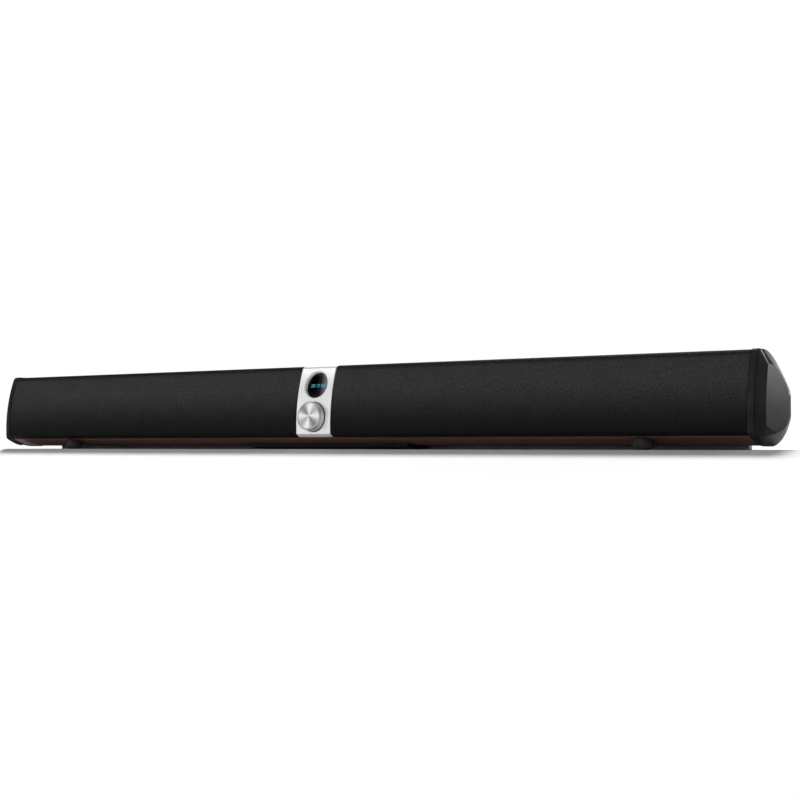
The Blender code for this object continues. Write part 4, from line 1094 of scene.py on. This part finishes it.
def dotted_digits(name, text):
    """Clock digits made of small raised cells on the glass."""
    across, down = DIGIT_PITCH
    cell_size = Vector((CELL_SHARE * across, CELL_SHARE * down, CELL_THICKNESS)) * MM
    width = sum(len(DIGIT_ROWS[letter][0]) + 1 for letter in text) - 1
    bm = bmesh.new()
    column = 0
    for letter in text:
        rows = DIGIT_ROWS[letter]
        for row, cells in enumerate(rows):
            for cell, lit in enumerate(cells):
                if lit == "0":
                    continue
                spot = bmesh.ops.create_cube(bm, size=1.0)["verts"]
                bmesh.ops.scale(bm, vec=cell_size, verts=spot)
                x = (column + cell - (width - 1) / 2) * across
                spot_at = Vector((x, (3 - row) * down, DIGIT_DEPTH)) * MM
                bmesh.ops.translate(bm, vec=spot_at, verts=spot)
        column += len(rows[0]) + 1
    made = finish_mesh(name, bm, DIGITS)
    made.location = display_centre
    made.rotation_euler.x = math.pi / 2 - DISPLAY_TILT
    return made


settle(dotted_digits("display_digits", "20:15:02"), BAR, "display_module")

# ---------------------------------------------------------------- knob
KNOB_PROFILE = [
    (0.0, 8.0), (15.2, 8.0), (15.3, 9.0), (15.6, 9.2), (16.2, 9.2), (16.95, 8.5), (16.95, -2.0),
    (14.8, -2.0), (14.8, 5.6), (5.0, 5.6), (5.0, -1.6), (2.8, -1.6), (2.8, 5.0), (0.0, 5.0),
]
knob = turned("knob_ring", filleted(KNOB_PROFILE, 0.22), knob_centre, KNOB_METAL, BOARD_LEAN, 128)
settle(knob, "knob", "volume_knob", "volume_knob")
# The disc is dished: it rises by DISC_DISH from its middle to the radius DISC_RADIUS.
DISC_HEIGHT = 8.62
DISC_DISH = 0.45
DISC_RADIUS = 14.8
DISC_PROFILE = [
    (radius, DISC_HEIGHT + DISC_DISH * (radius / DISC_RADIUS) ** 2)
    for radius in (0, 2, 4, 6, 8, 10, 12, 13.4, 14.6)
]
DISC_PROFILE += [(14.85, 9.02), (15.0, 8.85), (15.0, 8.3), (0.0, 8.3)]
disc = turned("knob_disc", DISC_PROFILE, knob_centre, SPUN, BOARD_LEAN, 128)
settle(disc, "knob", "knob_face", "knob_face")

# ---------------------------------------------------------------- feet
FOOT_PROFILE = [
    (0.0, 14.6), (3.0, 14.3), (5.6, 13.4), (7.6, 12.0), (9.1, 10.2), (10.2, 8.2), (10.8, 6.6),
    (11.0, 5.2), (10.7, 3.9), (9.9, 2.5), (8.8, 1.3), (7.9, 0.5), (7.0, 0.1), (6.2, 0.0), (0.0, 0.0),
]
FOOT_RADIUS = 11.0


def fitted_under(made, node):
    """Cuts a piece to the bar's underside, a gap away from it, and settles it."""
    tool = lofted("underside_tool", BODY, [(-half, -GAP), (half, -GAP)], RUBBER)
    cut(made, tool)
    settle(made, BAR, node, node)
    drop(tool)


for side in ("left", "right"):
    node = "foot_front_" + side
    low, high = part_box(node)
    centre = Vector(((low.x + high.x) / 2, low.y + FOOT_RADIUS * MM, low.z))
    fitted_under(turned("rubber_" + node, FOOT_PROFILE, centre, RUBBER, None, 64), node)

# Rail under the back, with rounded ends.
RAIL_SECTION = [
    (73.0, 14.0), (83.0, 14.0), (83.0, 1.0), (82.7, 0.3), (82.0, 0.0), (78.0, 0.0), (74.0, 0.0),
    (73.3, 0.3), (73.0, 1.0),
]
rail_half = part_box("rear_foot_rail")[1].x / MM
edge = [(0.0, 0.6), (0.15, 0.3), (0.5, 0.08), (1.0, 0.0)]
stations = rounded_stations(-rail_half, rail_half, edge, 20)
fitted_under(lofted("rubber_rail", RAIL_SECTION, stations, RAIL_RUBBER), "rear_foot_rail")

# ---------------------------------------------------------------- CAD nodes that keep their shape
# Finish, width of the rounded edges in millimetres, and nodes.
CARRIED = (
    (BOARD, 0, "front_baffle", "partition_left", "partition_right"),
    (MATTE, 0, "grille_frame_left", "grille_frame_right", "control_carrier", "encoder_plunger"),
    (MATTE, 0, "tweeter_frame_left", "tweeter_frame_right"),
    (CIRCUIT, 0, "display_module", "control_board", "amp_board", "power_board", "input_board"),
    (STEEL, 0, "encoder_body", "encoder_nut", "encoder_shaft"),
    (ANODISED, 0, "heat_sink"),
    (IRON, 0, "transformer"),
    (COVER, 0.5, "bottom_cover"),
    (TRAY, 0.3, "terminal_tray"),
    (SOCKET, 0.25, "mains_inlet", "power_switch_frame", "optical_socket"),
    (SOCKET, 0.2, "aux_socket"),
    (GLOSSY, 0.5, "power_rocker"),
    (PLATED, 0.2, "coax_socket", "sub_out_socket"),
    (STEEL, 0.25, "wall_plate_left", "wall_plate_right"),
    (DARK_STEEL, 0, "cover_screw_left", "cover_screw_right", "tray_screw_left", "tray_screw_right"),
    (DARK_STEEL, 0, *(f"woofer_frame_{number}" for number in range(1, 5))),
    (CONE, 0, *(f"woofer_cone_{number}" for number in range(1, 5))),
    (SILK, 0, "tweeter_dome_left", "tweeter_dome_right"),
)
for look, width, *nodes in CARRIED:
    for node in nodes:
        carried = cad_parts[node]
        carried.data.materials.clear()
        carried.data.materials.append(look)
        weld = carried.modifiers.new("weld", "WELD")
        weld.merge_threshold = 0.00001
        if width:
            round_edges(carried, width)

# ---------------------------------------------------------------- studio
FLOOR_HALF = 9.0
FLOOR_EDGE = FRONT_Y + 0.003
FLOOR_EASE = 0.02
FLOOR_SLOPE = 0.15
FLOOR_STEPS = 16


def floor_height(y):
    """Flat under the bar, then easing down towards the front."""
    out = max(0.0, FLOOR_EDGE - y)
    if out < FLOOR_EASE:
        return -FLOOR_SLOPE * out * out / (2 * FLOOR_EASE)
    return -FLOOR_SLOPE * (out - FLOOR_EASE / 2)


floor_bm = bmesh.new()
rows = [FLOOR_HALF, 1.0]
rows += [FLOOR_EDGE - FLOOR_EASE * step / FLOOR_STEPS for step in range(FLOOR_STEPS + 1)]
rows += [FLOOR_EDGE - 0.6, FLOOR_EDGE - 1.2, -FLOOR_HALF]
previous = None
for y in rows:
    pair = [floor_bm.verts.new((x, y, floor_height(y))) for x in (-FLOOR_HALF, FLOOR_HALF)]
    if previous:
        floor_bm.faces.new((previous[0], previous[1], pair[1], pair[0]))
    previous = pair
bmesh.ops.recalc_face_normals(floor_bm, faces=floor_bm.faces)
floor_look = Look("studio_floor", (0.88, 0.88, 0.88), 0.9, Specular_IOR_Level=0.0)
floor = finish_mesh("studio_floor", floor_bm, floor_look.made, 60)
floor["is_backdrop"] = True

world = bpy.data.worlds.new("studio")
bpy.context.scene.world = world
world.use_nodes = True
tree = world.node_tree
tree.nodes.clear()
out = tree.nodes.new("ShaderNodeOutputWorld")
direction = tree.nodes.new("ShaderNodeTexCoord").outputs["Generated"]
split = tree.nodes.new("ShaderNodeSeparateXYZ")
tree.links.new(direction, split.inputs[0])
sky = tree.nodes.new("ShaderNodeValToRGB")
tree.links.new(split.outputs[2], sky.inputs[0])
# White from below up to 19 degrees over the horizon, dim overhead.
white, dim = sky.color_ramp.elements
white.position = 0.32
white.color = (1.0, 1.0, 1.0, 1)
dim.position = 0.39
dim.color = (0.05, 0.05, 0.052, 1)
soft = tree.nodes.new("ShaderNodeBackground")
tree.links.new(sky.outputs[0], soft.inputs[0])
soft.inputs[1].default_value = 1.02
tree.links.new(soft.outputs[0], out.inputs[0])


def lamp(name, kind, centre, target, power):
    light = bpy.data.lights.new(name, kind)
    light.energy = power
    made = linked(name, light)
    made.location = centre
    made.rotation_euler = (Vector(target) - Vector(centre)).to_track_quat("-Z", "Y").to_euler()
    made.visible_camera = False
    return light


def softbox(name, centre, target, size, power):
    light = lamp(name, "AREA", centre, target, power)
    light.shape = "RECTANGLE"
    light.size, light.size_y = size


# A soft key from behind and above casts the shadow forwards and whitens the floor.
key = lamp("key", "SUN", (-0.556, 0.83, 1.36), (0.0, 0.0, 0.0), 3.7)
key.angle = math.radians(14)
softbox("front", (-1.11, -1.58, 1.74), (0.0, 0.0, 0.06), (1.9, 0.9), 12)
softbox("right_end", (0.87, 0.50, 0.23), (0.54, 0.0, 0.08), (0.22, 0.30), 0.8)

SENSOR = 36.0
IMAGE_WIDTH = 800
FOCAL_PIXELS = 1400.0
YAW = math.radians(33.78)
PITCH = math.radians(1.86)
camera_data = bpy.data.cameras.new("camera")
camera = linked("camera", camera_data)
bpy.context.scene.camera = camera
camera_data.sensor_width = SENSOR
camera_data.lens = SENSOR * FOCAL_PIXELS / IMAGE_WIDTH
camera.location = place(1001.8, -1312.9, 4.5)
camera.rotation_euler = (math.pi / 2 + PITCH, 0, YAW)
camera_data.clip_start = 0.01
camera_data.clip_end = 100

bpy.context.scene.view_settings.view_transform = "Standard"
bpy.context.scene.view_settings.look = "None"

low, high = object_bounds()
